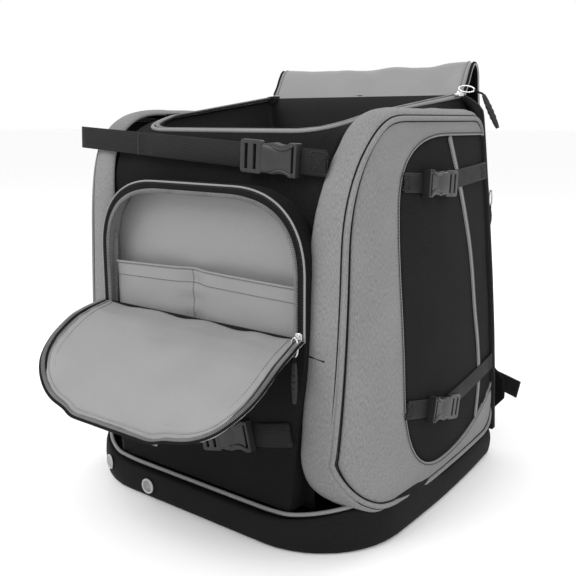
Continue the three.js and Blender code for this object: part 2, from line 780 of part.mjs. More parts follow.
// The boot zips' sliders lie on the back panel's rounded corner, clear of the doors.
const BOOT_SLIDER_Z = 345;
const bootSliderY = rearEdgeY(BOOT_SLIDER_Z) + 7;
const bootSliderX = sideX(bootSliderY, BOOT_SLIDER_Z) + 4 * GAP;
const pastCorner = (bootSliderY * BACK) / backY(BOOT_SLIDER_Z) - (BACK - REAR_CORNER);
const BOOT_SLIDER_TURN = Math.asin(pastCorner / REAR_CORNER); // how far the corner has turned
for (const sign of [1, -1]) {
  const turn = sign * (Math.PI / 2 + BOOT_SLIDER_TURN);
  const prefix = "boot_zip_" + (sign > 0 ? "right" : "left");
  addZip(prefix, [sign * bootSliderX, bootSliderY, BOOT_SLIDER_Z], turn, 42);
}

// The lid's slider lies on the rim at the back right, its pull over the boot compartment's corner.
const LID_ZIP = [154, 104, 459.5];
const lidSlider = add("lid_zip_slider", slider(), metal());
lidSlider.position.set(...LID_ZIP);
lidSlider.rotation.set(-Math.PI / 2, 0, 0);

function lidPull() {
  const [x, y, z] = LID_ZIP;
  return tube(
    [
      [x, y, z + 9.5],
      [x + 18, y + 2, z + 7],
      [x + 34, y + 5, z - 3],
      [x + 42, y + 8, z - 20],
      [x + 46, y + 10, z - 38],
    ],
    2.4,
    10,
  );
}

add("lid_zip_pull", lidPull(), rubber());

// ---------------------------------------------------------------- harness
// Its frame lies on the leaning back: Z runs up it and Y away from it.
const harness = new THREE.Group();
harness.position.set(0, BACK, BACK_FOOT);
harness.rotation.x = REAR_LEAN;
bag.add(harness);

const PAD_THICK = 11;
function backPad() {
  const g = alongY(roundedRect(108, 140, 40), GAP, PAD_THICK);
  g.translate(0, 0, 175);
  return solid(g);
}

add("back_pad", backPad(), blackFabric(), harness);

const STRAP_TOP = 335;
const STRAP_FOOT = 70;
const STRAP_THICK = 11;

// A padded shoulder strap with an S bend, broad at the shoulder.
function shoulderStrap() {
  const s = new THREE.Shape();
  s.moveTo(22, STRAP_TOP);
  s.bezierCurveTo(24, 250, 60, 190, 88, 130);
  s.lineTo(104, STRAP_FOOT);
  s.lineTo(140, STRAP_FOOT);
  s.bezierCurveTo(142, 130, 128, 190, 112, 230);
  s.bezierCurveTo(96, 270, 86, 300, 84, STRAP_TOP);
  return solid(alongY(s, PAD_THICK + 1, PAD_THICK + 1 + STRAP_THICK, 4));
}

const STRAP_Y = PAD_THICK + 1 + STRAP_THICK / 2;

// The lock that holds the lower webbing, sewn to the foot of the strap.
function ladderLock() {
  const slots = [-6, 3].map((w) => box(-12, 12, -3, 3, w, w + 3));
  return cut(solid(alongY(roundedRect(16, 11, 2), -2, 2)), ...slots);
}

const LOCK_AT = [122, STRAP_Y, STRAP_FOOT - 12];
const WING_TIP = [196, 26]; // x, z in the harness frame
const WING = [
  [172, -20],
  [WING_TIP[0], WING_TIP[1] - 14],
  [WING_TIP[0], WING_TIP[1] + 12],
  [172, 64],
];

// The lower webbing runs from the lock out to the wing sewn in at the bag's bottom corner.
function lowerWebbing() {
  const from = [LOCK_AT[0] + 4, LOCK_AT[2] - 13];
  const to = [WING_TIP[0] + 18, WING_TIP[1] - 2];
  const run = Math.hypot(to[0] - from[0], to[1] - from[1]);
  const g = alongY(roundedRect(run / 2, TOP_WEB / 2, 0.5), -WEB / 2, WEB / 2);
  g.rotateY(-Math.atan2(to[1] - from[1], to[0] - from[0]));
  g.translate((from[0] + to[0]) / 2, 9, (from[1] + to[1]) / 2);
  return solid(g);
}

const wing = () => solid(alongY(polygon(WING), 2, 4));

for (const sign of [1, -1]) {
  const side = sign > 0 ? "right" : "left";
  const place = (body) => (sign > 0 ? body : mirrorX(body));
  add("shoulder_strap_" + side, place(shoulderStrap()), blackFabric(), harness);
  add("ladder_lock_" + side, place(ladderLock().translate(LOCK_AT)), buckle(), harness);
  add("strap_wing_" + side, place(wing()), blackFabric(), harness);
  add("shoulder_webbing_" + side, place(lowerWebbing()), webbing(), harness);
}

function haulHandle() {
  const s = roundedRect(55, 15, 6);
  const hole = new THREE.Path();
  hole.moveTo(-46, -8);
  hole.lineTo(-46, 8);
  hole.lineTo(46, 8);
  hole.lineTo(46, -8);
  s.holes.push(hole);
  const g = alongY(s, 2, 5);
  g.translate(0, 0, 362);
  return solid(g);
}

add("haul_handle", haulHandle(), webbing(), harness);

export default bag;
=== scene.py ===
"""Ski boot bag: fabric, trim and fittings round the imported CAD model. Lengths inside are millimetres."""
import json
import math

import bmesh
import bpy
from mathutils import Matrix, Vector, noise


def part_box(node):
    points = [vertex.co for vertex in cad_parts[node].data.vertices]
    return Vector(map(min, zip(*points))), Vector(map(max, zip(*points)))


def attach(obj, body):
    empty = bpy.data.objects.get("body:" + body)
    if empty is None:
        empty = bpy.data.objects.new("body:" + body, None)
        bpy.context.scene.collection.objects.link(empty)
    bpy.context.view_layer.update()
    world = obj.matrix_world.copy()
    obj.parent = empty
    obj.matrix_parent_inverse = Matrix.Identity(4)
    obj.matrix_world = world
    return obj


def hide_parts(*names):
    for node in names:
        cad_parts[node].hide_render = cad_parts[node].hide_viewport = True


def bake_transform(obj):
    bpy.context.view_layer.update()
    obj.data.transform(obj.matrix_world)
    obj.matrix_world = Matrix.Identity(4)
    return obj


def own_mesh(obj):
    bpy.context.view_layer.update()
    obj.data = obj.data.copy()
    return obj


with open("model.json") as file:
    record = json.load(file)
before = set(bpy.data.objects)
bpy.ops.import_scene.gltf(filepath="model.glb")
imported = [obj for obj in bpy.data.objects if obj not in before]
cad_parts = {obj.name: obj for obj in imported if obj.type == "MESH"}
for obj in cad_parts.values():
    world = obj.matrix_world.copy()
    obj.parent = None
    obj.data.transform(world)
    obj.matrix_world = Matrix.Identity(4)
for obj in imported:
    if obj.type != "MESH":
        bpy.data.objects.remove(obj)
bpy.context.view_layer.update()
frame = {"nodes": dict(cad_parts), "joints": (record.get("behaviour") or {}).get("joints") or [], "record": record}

# ---------------------------------------------------------------- camera
camera = bpy.data.objects.new("camera", bpy.data.cameras.new("camera"))
camera.data.lens = 50
camera.data.sensor_width = 36
camera.location = (0.592, -0.784, 0.433)
camera.rotation_euler = (math.radians(78.1), 0, math.radians(38))
bpy.context.scene.collection.objects.link(camera)
bpy.context.scene.camera = camera

# ---------------------------------------------------------------- sizes from the frame
MM = 1000.0
SIDES = (("right", 1), ("left", -1))


def low(node):
    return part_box(node)[0] * MM


def high(node):
    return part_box(node)[1] * MM


HALF_WIDTH = high("base_boot").x - 3
DOOR_LIP = 8  # from the doors' front edge to the front of the bag's form
FRONT = -low("boot_door_right").y + DOOR_LIP
BACK = high("base_boot").y - 3
BACK_FOOT = 60
BACK_TOP = BACK - 45
BOOT_TOP = high("boot_door_right").z
BASE_TOP = 33
PANEL_Y = low("main_shell").y
POCKET_Y = low("front_pocket_shell").y
POCKET_FOOT = low("front_pocket_shell").z
POCKET_TOP = high("front_pocket_shell").z
POCKET_HALF = high("front_pocket_shell").x
FLAP_HINGE = next(j for j in frame["joints"] if j["name"] == "front_flap_hinge")["pos_m"][2] * MM
FRONT_CORNER = 67
REAR_CORNER = 35
TAPER = 15
REAR_EDGE_TOP = (127, 415)
REAR_EDGE_FOOT = (167, 75)
WEB = 1.4  # webbing thickness
WIDE_WEBBING = 25
NARROW_WEBBING = 20
STITCH = (2.3, 0.75, 0.6)
TOOTH = (4.6, 1.2, 1.7)


# ---------------------------------------------------------------- curves
def bezier(points, n=12):
    """n + 1 points of the Bezier curve through these controls."""
    out = []
    for i in range(n + 1):
        t = i / n
        level = [Vector(p) for p in points]
        while len(level) > 1:
            level = [a.lerp(b, t) for a, b in zip(level, level[1:])]
        out.append(level[0])
    return out


def join(*runs):
    out = []
    for run in runs:
        out += [Vector(p) for p in run if not out or (Vector(p) - out[-1]).length > 1e-3]
    return out


def resample(points, n):
    """n + 1 points evenly spaced along a polyline."""
    pts = [Vector(p) for p in points]
    lengths = [0.0]
    for a, b in zip(pts, pts[1:]):
        lengths.append(lengths[-1] + (b - a).length)
    out = []
    k = 0
    for i in range(n + 1):
        want = lengths[-1] * i / n
        while k < len(pts) - 2 and lengths[k + 1] < want:
            k += 1
        span = lengths[k + 1] - lengths[k]
        out.append(pts[k].lerp(pts[k + 1], min(1, (want - lengths[k]) / span)))
    return out


def smooth(points, n):
    """A Catmull-Rom curve through the points, evenly sampled."""
    pts = [Vector(p) for p in points]
    pts = [pts[0] * 2 - pts[1]] + pts + [pts[-1] * 2 - pts[-2]]
    out = []
    for a, b, c, d in zip(pts, pts[1:], pts[2:], pts[3:]):
        for k in range(8):
            t = k / 8
            squared = 2 * a - 5 * b + 4 * c - d
            cubed = 3 * b - a - 3 * c + d
            out.append((2 * b + (c - a) * t + squared * t * t + cubed * t ** 3) / 2)
    out.append(pts[-2])
    return resample(out, n)


def relaxed(points, times):
    """The path with its corners eased: each point moves halfway to the middle of its neighbours."""
    pts = [Vector(p) for p in points]
    for _ in range(times):
        pts = [pts[0]] + [b * 0.5 + (a + c) * 0.25 for a, b, c in zip(pts, pts[1:], pts[2:])] + [pts[-1]]
    return pts


def rough_noise(x, y, z, size):
    """Smooth deterministic noise, about -1 to 1, with features of this size in mm."""
    return noise.noise(Vector((x / size, y / size, z / size)))


def mirrored(points, sign):
    return [Vector((p.x * sign, p.y, p.z)) for p in points]


# ---------------------------------------------------------------- the bag's form
def clamp(v, lo=0.0, hi=1.0):
    return max(lo, min(hi, v))


def width_share(z):
    """How much narrower the bag is at this height than at its foot."""
    return 1 - 0.08 * max(0, (z - 100) / (BOOT_TOP - 100)) ** 1.6


def back_y(z):
    return BACK - max(0, z - BACK_FOOT) * (BACK - BACK_TOP) / (BOOT_TOP - BACK_FOOT)


def round_off(r, past):
    """How far a corner of this radius has turned in, this far past where it starts."""
    past = min(r, max(0, past))
    return r - math.sqrt(r * r - past * past)


def side_x(y, z):
    """Half the bag's width at this depth and height."""
    y_plan = y * BACK / back_y(z) if y > 0 else y
    start = FRONT_CORNER - FRONT
    end = BACK - REAR_CORNER
    t = clamp((y_plan - start) / (end - start))
    corners = round_off(FRONT_CORNER, start - y_plan) + round_off(REAR_CORNER, y_plan - end)
    return (HALF_WIDTH - TAPER * t * t - corners) * width_share(z)


def side_normal(y, z):
    d = 2
    slope_y = (side_x(y + d, z) - side_x(y - d, z)) / (2 * d)
    slope_z = (side_x(y, z + d) - side_x(y, z - d)) / (2 * d)
    return Vector((1, -slope_y, -slope_z)).normalized()


def on_side(y, z, lift=0.0):
    return Vector((side_x(y, z), y, z)) + side_normal(y, z) * lift


def along_side(path, lift, sign):
    """Points lifted off the bag's right or left side along a (y, z) path, and the normals there."""
    points = mirrored([on_side(p.x, p.y, lift) for p in path], sign)
    return points, mirrored([side_normal(*p) for p in path], sign)


def rear_edge_y(z):
    t = (z - REAR_EDGE_FOOT[1]) / (REAR_EDGE_TOP[1] - REAR_EDGE_FOOT[1])
    return REAR_EDGE_FOOT[0] + t * (REAR_EDGE_TOP[0] - REAR_EDGE_FOOT[0])


def panel_edge(z):
    """Half width of the front panel, where the boot compartments' gussets start."""
    if z < 290:
        return 140
    if z < 345:
        return 140 + 6 * (z - 290) / 55
    return 146 + 12 * clamp((z - 345) / 65)


def boot_outline(n):
    """(y, z) from the top of the rear edge over the top, down the front and back along the foot."""
    path = join(
        bezier([REAR_EDGE_TOP, (124, BOOT_TOP), (95, BOOT_TOP)], 8),
        [(-85, BOOT_TOP)],
        bezier([(-85, BOOT_TOP), (-152, BOOT_TOP), (-173, 390), (-176, 310)], 18),
        bezier([(-176, 310), (-181, 190), (-187, 100)], 12),
        bezier([(-187, 100), (-178, 42), (-110, 34)], 12),
        [(-60, 29), (135, 29)],
        bezier([(135, 29), (171, 32), REAR_EDGE_FOOT], 8),
    )
    return resample(path, n)


def outward(points):
    """Unit normals pointing out of an anticlockwise open path of 2-D points."""
    out = []
    for i in range(len(points)):
        t = points[min(i + 1, len(points) - 1)] - points[max(i - 1, 0)]
        out.append(Vector((t.y, -t.x)).normalized())
    return out


def shoulder(normal):
    """How far inside the outline the welt runs: more over the top and the foot."""
    return 4 + 5 * abs(normal.y)


def inset(points, extra):
    return [p - n * (shoulder(n) + extra) for p, n in zip(points, outward(points))]


def black_outline(n):
    """(y, z) of the door's black panel, from the top of the rear edge round its front to the foot."""
    path = join(
        [(123, 415), (5, 416)],
        bezier([(5, 416), (-60, 416), (-98, 398), (-102, 350)], 10),
        bezier([(-102, 350), (-107, 290), (-97, 240), (-95, 160)], 10),
        bezier([(-95, 160), (-93, 90), (-55, 55), (0, 55)], 10),
        bezier([(0, 55), (60, 54), (120, 72), (160, 102)], 10),
    )
    return resample(path, n)


# ---------------------------------------------------------------- materials
class Shader:
    """A material's node tree, with short calls for the nodes that the fabrics share."""

    def __init__(self, name, rough, coords="UV"):
        self.material = bpy.data.materials.new(name)
        self.material.use_nodes = True
        self.tree = self.material.node_tree
        self.bsdf = self.tree.nodes["Principled BSDF"]
        self.bsdf.inputs["Roughness"].default_value = rough
        self.place = self.tree.nodes.new("ShaderNodeTexCoord").outputs[coords]

    def put(self, kind, settings=None, **inputs):
        node = self.tree.nodes.new("ShaderNode" + kind)
        for key, value in (settings or {}).items():
            setattr(node, key, value)
        for key, value in inputs.items():
            self.set(node.inputs[key.replace("_", " ")], value)
        return node

    def set(self, socket, value):
        if isinstance(value, bpy.types.NodeSocket):
            self.tree.links.new(value, socket)
        else:
            socket.default_value = value

    def scaled(self, scale):
        node = self.put("Mapping", Vector=self.place)
        node.inputs["Scale"].default_value = scale
        return node.outputs["Vector"]

    def noise(self, scale, stretch=(1, 1, 1), detail=3.0):
        node = self.put("TexNoise", Vector=self.scaled(stretch), Scale=scale, Detail=detail)
        return node.outputs["Fac"]

    def waves(self, per_metre, axis):
        settings = {"wave_type": "BANDS", "bands_direction": axis}
        node = self.put("TexWave", settings, Vector=self.place, Scale=per_metre / 3.18)
        return node.outputs["Fac"]

    def math(self, operation, a, b):
        node = self.tree.nodes.new("ShaderNodeMath")
        node.operation = operation
        self.set(node.inputs[0], a)
        self.set(node.inputs[1], b)
        return node.outputs["Value"]

    def between(self, fac, stops):
        node = self.put("ValToRGB", Fac=fac)
        ramp = node.color_ramp
        while len(ramp.elements) < len(stops):
            ramp.elements.new(0.5)
        for element, (at, colour) in zip(ramp.elements, stops):
            element.position = at
            element.color = (*colour, 1)
        return node.outputs["Color"]

    def ranged(self, fac, lo, hi):
        node = self.put("MapRange", Value=fac, To_Min=lo, To_Max=hi)
        return node.outputs["Result"]

    def bump(self, height, depth, strength=1.0):
        node = self.put("Bump", Height=height, Distance=depth, Strength=strength)
        if self.bsdf.inputs["Normal"].is_linked:
            self.set(node.inputs["Normal"], self.bsdf.inputs["Normal"].links[0].from_socket)
        self.set(self.bsdf.inputs["Normal"], node.outputs["Normal"])

    def colour(self, value):
        self.set(self.bsdf.inputs["Base Color"], value)

    def rough(self, value):
        self.set(self.bsdf.inputs["Roughness"], value)

    def sheen(self, weight, specular, rough=0.4):
        self.bsdf.inputs["Sheen Weight"].default_value = weight
        self.bsdf.inputs["Sheen Roughness"].default_value = rough
        self.bsdf.inputs["Specular IOR Level"].default_value = specular


def grey(v):
    return (v, v, v * 1.015)


def woven(name, base, spread, threads=900, rough=0.85, depth=0.00025, sheen=0.05,
          coords="UV", streak=(1, 1, 1), fleck=700, specular=0.06):
    """Cloth: a thread grid in the bump, flecks of lighter and darker yarn, and soft uneven wear."""
    s = Shader(name, rough, coords)
    flecks = s.noise(fleck, streak, 4.0)
    patches = s.noise(14, detail=2.0)
    mix = s.math("ADD", s.math("MULTIPLY", flecks, 0.8), s.math("MULTIPLY", patches, 0.2))
    dark, pale = grey(base * (1 - spread)), grey(base * (1 + spread))
    s.colour(s.between(mix, [(0.36, dark), (0.5, grey(base)), (0.66, pale)]))
    s.rough(s.ranged(patches, rough - 0.08, rough + 0.06))
    grid = s.math("MULTIPLY", s.waves(threads, "X"), s.waves(threads, "Y"))
    s.bump(grid, depth, 0.6)
    s.bump(s.noise(60, detail=4.0), 0.0009, 0.35)
    s.sheen(sheen, specular)
    return s.material


def ribbed(name, base):
    """Webbing: ribs across the strap and a fine herringbone along it."""
    s = Shader(name, 0.62)
    ribs = s.waves(520, "X")
    weave = s.waves(900, "Y")
    mix = s.math("ADD", s.math("MULTIPLY", ribs, 0.6), s.math("MULTIPLY", weave, 0.4))
    s.colour(s.between(mix, [(0.1, grey(base * 0.55)), (0.9, grey(base * 1.7))]))
    s.rough(s.ranged(s.noise(40), 0.52, 0.75))
    s.bump(mix, 0.0004, 0.8)
    s.sheen(0.03, 0.15)
    return s.material


def moulded(name, base, rough=0.38):
    """Moulded plastic with a fine spark-eroded grain and worn, shinier patches."""
    s = Shader(name, rough, "Object")
    s.bsdf.inputs["Specular IOR Level"].default_value = 0.35
    s.colour(s.between(s.noise(60), [(0.3, grey(base * 0.88)), (0.7, grey(base * 1.12))]))
    s.rough(s.ranged(s.noise(35, detail=4.0), rough - 0.1, rough + 0.14))
    s.bump(s.noise(1800, detail=2.0), 0.00006, 0.5)
    return s.material


def plated(name):
    s = Shader(name, 0.25, "Object")
    s.bsdf.inputs["Metallic"].default_value = 1
    s.colour(s.between(s.noise(90), [(0.3, grey(0.50)), (0.7, grey(0.72))]))
    s.rough(s.ranged(s.noise(160, detail=4.0), 0.16, 0.38))
    s.bump(s.noise(900), 0.00004, 0.4)
    return s.material


GREY = woven("grey_heather", 0.19, 0.2, rough=0.9, sheen=0.08, streak=(1, 0.3, 1), fleck=900)
BLACK = woven("black_oxford", 0.0085, 0.5, threads=700, rough=0.82, sheen=0.02, depth=0.0004)
BASE = woven("coated_base", 0.0095, 0.4, threads=620, rough=0.7, sheen=0.01, depth=0.0003)
LINING = woven("satin_lining", 0.215, 0.06, threads=1400, rough=0.42, sheen=0.15, depth=0.0001, specular=0.4)
# Near-black inside fabric, also used for the main compartment's lining as painted shade on a lining that is grey.
DARK_LINING_AND_SHADE = woven("dark_lining_and_shade", 0.022, 0.25, threads=1200, rough=0.55, sheen=0.03, depth=0.0001)
MESH_CLOTH = woven("spacer_mesh", 0.013, 0.6, threads=330, rough=0.85, depth=0.0011, coords="Object")
PAD_CLOTH = woven("pad_cloth", 0.012, 0.5, threads=700, rough=0.82, coords="Object")
PIPING = woven("grey_piping", 0.23, 0.12, threads=1100, rough=0.75)
TAPE = woven("black_tape", 0.008, 0.5, threads=900, rough=0.7, sheen=0.01)
THREAD = woven("thread", 0.035, 0.3, threads=2000, rough=0.6, coords="Object")
LINING_THREAD = woven("lining_thread", 0.12, 0.2, threads=2000, rough=0.6, coords="Object")
WEBBING = ribbed("webbing_ribbed", 0.009)
STRIPE_TAPE = woven("stripe_tape", 0.2, 0.15, threads=1200, rough=0.7)
PLASTIC = moulded("buckle_acetal", 0.02)
VENT = moulded("vent_nylon", 0.42, 0.5)
COIL = moulded("zip_coil", 0.16, 0.4)
RUBBER = moulded("pull_rubber_soft", 0.012, 0.6)
METAL = plated("nickel")


# ---------------------------------------------------------------- mesh building
def linked(name, data):
    obj = bpy.data.objects.new(name, data)
    bpy.context.scene.collection.objects.link(obj)
    return obj


def mesh_piece(name, verts, faces, materials, uvs=None, indices=None):
    mesh = bpy.data.meshes.new(name)
    mesh.from_pydata([v / MM for v in verts], [], faces)
    for material in materials:
        mesh.materials.append(material)
    if uvs:
        layer = mesh.uv_layers.new(name="weave")
        for loop in mesh.loops:
            u, v = uvs[loop.vertex_index]
            layer.data[loop.index].uv = (u / MM, v / MM)
    if indices:
        mesh.polygons.foreach_set("material_index", indices)
    mesh.polygons.foreach_set("use_smooth", [True] * len(mesh.polygons))
    mesh.update()
    return linked(name, mesh)


def grid(name, rows, materials, close=False):
    """A surface through rows of points. close joins each row's end to its start."""
    count = len(rows[0])
    verts = [p for row in rows for p in row]
    middle = len(rows) // 2
    across = [0.0]
    for a, b in zip(rows[middle], rows[middle][1:]):
        across.append(across[-1] + (b - a).length)
    uvs = []
    along = 0.0
    for r, row in enumerate(rows):
        if r:
            along += (row[count // 2] - rows[r - 1][count // 2]).length
        uvs += [(u, along) for u in across]
    faces = []
    for r in range(len(rows) - 1):
        for c in range(count if close else count - 1):
            d = (c + 1) % count
            faces.append((r * count + c, r * count + d, (r + 1) * count + d, (r + 1) * count + c))
    return mesh_piece(name, verts, faces, materials, uvs)


def settle(obj):
    """Applies the modifiers, so that the mesh is final."""
    bpy.context.view_layer.update()
    done = bpy.data.meshes.new_from_object(obj.evaluated_get(bpy.context.evaluated_depsgraph_get()))
    obj.modifiers.clear()
    obj.data = done
    return obj


def thicken(obj, mm, facing, centre=None):
    """Cloth this thick behind the surface. Its first material looks along facing, or away from centre."""
    total = 0.0
    for face in obj.data.polygons:
        way = face.center * MM - Vector(centre) if centre else Vector(facing)
        total += face.area * face.normal.dot(way)
    if total < 0:
        obj.data.flip_normals()
    m = obj.modifiers.new("thickness", "SOLIDIFY")
    m.thickness = mm / MM
    m.offset = -1
    m.material_offset = 1
    return settle(obj)


def bevelled(obj, mm, segments=2):
    m = obj.modifiers.new("edges", "BEVEL")
    m.width = mm / MM
    m.segments = segments
    m.angle_limit = math.radians(40)
    settle(obj)
    obj.data.shade_smooth()
    obj.data.set_sharp_from_angle(angle=math.radians(50))
    return obj


def place(obj, body, slot, *nodes):
    """Hangs the piece on the body that it rides on, if any, and hides the CAD nodes that it stands for. The slot,
    meant for its finish, is not used.
    """
    if body:
        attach(obj, body)
    if nodes:
        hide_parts(*nodes)
    return obj


def frames_along(points, closed=False):
    """(tangent, side, up) at each point, turned as little as possible from one to the next."""
    n = len(points)
    out = []
    up = None
    for i in range(n):
        ahead = points[(i + 1) % n] if closed else points[min(i + 1, n - 1)]
        behind = points[i - 1] if closed or i else points[0]
        tangent = (ahead - behind).normalized()
        if up is None:
            up = Vector((0, 0, 1)) if abs(tangent.z) < 0.9 else Vector((0, 1, 0))
        side = tangent.cross(up).normalized()
        up = side.cross(tangent).normalized()
        out.append((tangent, side, up))
    return out


def sweep(name, points, section, material, closed=False, frames=None):
    """A closed section of (side, up) pairs carried along the points."""
    frames = frames or frames_along(points, closed)
    rows = [[p + s * a + u * b for a, b in section] for p, (_, s, u) in zip(points, frames)]
    if closed:
        rows.append(rows[0])
    obj = grid(name, rows, [material], close=True)
    if not closed:
        cap_ends(obj, len(section))
    return obj

# The fabric wing that anchors the webbing at the bag's lower corner, edged with a binding.

def cap_ends(obj, count):
    bm = bmesh.new()
    bm.from_mesh(obj.data)
    bmesh.ops.holes_fill(bm, edges=[e for e in bm.edges if e.is_boundary], sides=count)
    bmesh.ops.recalc_face_normals(bm, faces=bm.faces)
    bm.to_mesh(obj.data)
    bm.free()


def tube(name, points, radius, material, closed=False, sides=10):
    turns = [2 * math.pi * i / sides for i in range(sides)]
    section = [(radius * math.cos(t), radius * math.sin(t)) for t in turns]
    return sweep(name, points, section, material, closed)


def cord(name, points, radius, material, body, slot, *nodes):
    """A round trim laid on its body: piping, a seam, a folded edge or a binding."""
    return place(tube(name, points, radius, material), body, slot, *nodes)


def strap(name, points, normals, width, material, thick=WEB):
    """Flat webbing with rounded edges, its underside on the points."""
    half = width / 2
    lip = thick * 0.4
    section = [(-half, lip), (-half + lip, 0), (half - lip, 0), (half, lip), (half, thick - lip)]
    section += [(half - lip, thick), (0, thick * 1.05), (-half + lip, thick), (-half, thick - lip)]
    frames = []
    for i, normal in enumerate(normals):
        tangent = (points[min(i + 1, len(points) - 1)] - points[max(i - 1, 0)]).normalized()
        side = normal.cross(tangent).normalized()
        frames.append((tangent, side, tangent.cross(side).normalized()))
    return sweep(name, points, section, material, frames=frames)


def blocks(name, spots, size, material):
    """Small six-sided bars at (centre, along, across, up) spots: stitches and zip teeth."""
    verts = []
    faces = []
    length, width, height = size
    for centre, along, across, up in spots:
        first = len(verts)
        for a in (-0.5, 0.5):
            for i in range(6):
                turn = math.pi * i / 3
                point = centre + along * (a * length)
                point = point + across * (width / 2 * math.cos(turn))
                verts.append(point + up * (height / 2 * math.sin(turn)))
        faces += [tuple(first + k for k in ((i + 1) % 6, i, i + 6, (i + 1) % 6 + 6)) for i in range(6)]
        faces += [tuple(first + i for i in range(6)), tuple(first + 11 - i for i in range(6))]
    return mesh_piece(name, verts, faces, [material])


def spots_along(points, normals, pitch, turn=0.0):
    """Evenly spaced spots on a path with outward normals; turn 90 lays each bar across the path."""
    length = sum((b - a).length for a, b in zip(points, points[1:]))
    count = max(2, int(length / pitch))
    fine = resample(points, count)
    steady = resample_like(normals, count)
    out = []
    for i in range(count):
        tangent = (fine[i + 1] - fine[i]).normalized()
        up = (steady[i] - tangent * steady[i].dot(tangent)).normalized()
        side = up.cross(tangent)
        along = tangent * math.cos(math.radians(turn)) + side * math.sin(math.radians(turn))
        out.append((fine[i].lerp(fine[i + 1], 0.5), along, up.cross(along), up))
    return out


def resample_like(normals, n):
    last = len(normals) - 1
    out = []
    for i in range(n + 1):
        at = last * i / n
        k = min(int(at), last - 1) if last else 0
        out.append(normals[k].lerp(normals[min(k + 1, last)], at - k).normalized())
    return out


def stitching(name, points, normals, body, slot, lift=0.25, pitch=3.4):
    lifted = [p + n * lift for p, n in zip(points, normals)]
    thread = LINING_THREAD if slot == "lining" else THREAD
    made = blocks(name, spots_along(lifted, normals, pitch), STITCH, thread)
    return place(made, body, slot)


def zip_teeth(name, points, normals, body, pitch=1.7):
    made = blocks(name, spots_along(points, normals, pitch, 90), TOOTH, COIL)
    return place(made, body, "grey_trim")


# ---------------------------------------------------------------- boot compartments
OUTLINE_STEPS = 150


def gusset(sign):
    """The band round a boot compartment, from the front panel's edge out to the welt, and its rear wall."""
    outline = boot_outline(OUTLINE_STEPS)
    foot, top = outline[-1], outline[0]
    outline = outline + [foot.lerp(top, i / 12) for i in range(1, 12)]
    normals = outward(outline)
    rows = []
    for p, n in zip(outline, normals):
        w = shoulder(n)
        welt = p - n * w
        edge = side_x(welt.x, welt.y)
        inner = panel_edge(p.y) - 1
        ease = min(9, (edge - inner) * 0.4)
        row = []
        for k in range(11):
            u = k / 10
            x = inner + (edge - ease - inner) * u
            crease = 0.9 * rough_noise(x, p.x, p.y, 26) * math.sin(math.pi * u)
            row.append((x, 1.6 * math.sin(math.pi * u) - 3.5 * (1 - u) ** 5 + crease))
        for k in range(1, 7):
            turn = k * math.pi / 12
            row.append((edge - ease + ease * math.sin(turn), -w + w * math.cos(turn)))
        row.append((edge - 6, -w - 1.5))
        rows.append([Vector((sign * x, p.x + n.x * r, p.y + n.y * r)) for x, r in row])
    rows.append(rows[0])
    return rows


def c_panel_rows(sign, black):
    """The grey C-shaped panel, from the welt in to the black panel's outline."""
    outer = inset(boot_outline(OUTLINE_STEPS), 2.2)
    rows = []
    for a, b in zip(outer, black):
        row = []
        for k in range(17):
            u = k / 16
            p = a.lerp(b, u)
            streak = 0.5 * rough_noise((p.x + p.y) / 3, (p.x - p.y), sign * 9, 16) * math.sin(math.pi * u)
            lift = 2.4 * math.sin(math.pi * u) ** 0.7 + 1.3 * u ** 6 + streak
            row.append(on_side(p.x, p.y, lift))
        row.append(on_side(*b, 0.2))
        rows.append(mirrored(row, sign))
    return rows


def black_panel_rows(sign, black):
    """The black panel, from its outline back to the rear edge, sagging a little."""
    rows = []
    for i, b in enumerate(black):
        u = i / OUTLINE_STEPS
        z = REAR_EDGE_TOP[1] - 2 + (REAR_EDGE_FOOT[1] + 6 - REAR_EDGE_TOP[1]) * u
        rear = Vector((rear_edge_y(z) - 1.5, z))
        row = []
        for k in range(25):
            v = k / 24
            p = b.lerp(rear, v)
            sag = 1.5 * math.sin(math.pi * v) * math.sin(math.pi * u) + 0.8 * rough_noise(*p, sign * 5, 55)
            row.append(on_side(p.x, p.y, sag * min(1, 6 * v)))
        rows.append(mirrored(row, sign))
    return rows


def door_panels(sign, name):
    """The grey C-shaped panel and the black panel let into it, both following the bag's form."""
    body = "boot_door_" + name
    black = black_outline(OUTLINE_STEPS)
    rows = c_panel_rows(sign, black)
    c_panel = thicken(grid("door_c_panel_" + name, rows, [GREY, DARK_LINING_AND_SHADE]), 2.6, (sign, 0, 0))
    place(c_panel, body, "grey_fabric", "boot_door_" + name)
    rows = black_panel_rows(sign, black)
    panel = thicken(grid("door_black_panel_" + name, rows, [BLACK, DARK_LINING_AND_SHADE]), 2.4, (sign, 0, 0))
    place(panel, body, "black_fabric")
    fold = along_side(moved_out(black, 0.6), 1.9, sign)[0]
    cord("door_folded_edge_" + name, fold, 0.75, PIPING, body, "grey_trim")
    points, normals = along_side(moved_out(black, 2.6), 2.6, sign)
    stitching("door_edge_stitching_" + name, points, normals, body, "grey_fabric")


def moved_out(points, out):
    """A path moved outwards by a distance."""
    return [p + n * out for p, n in zip(points, outward(points))]


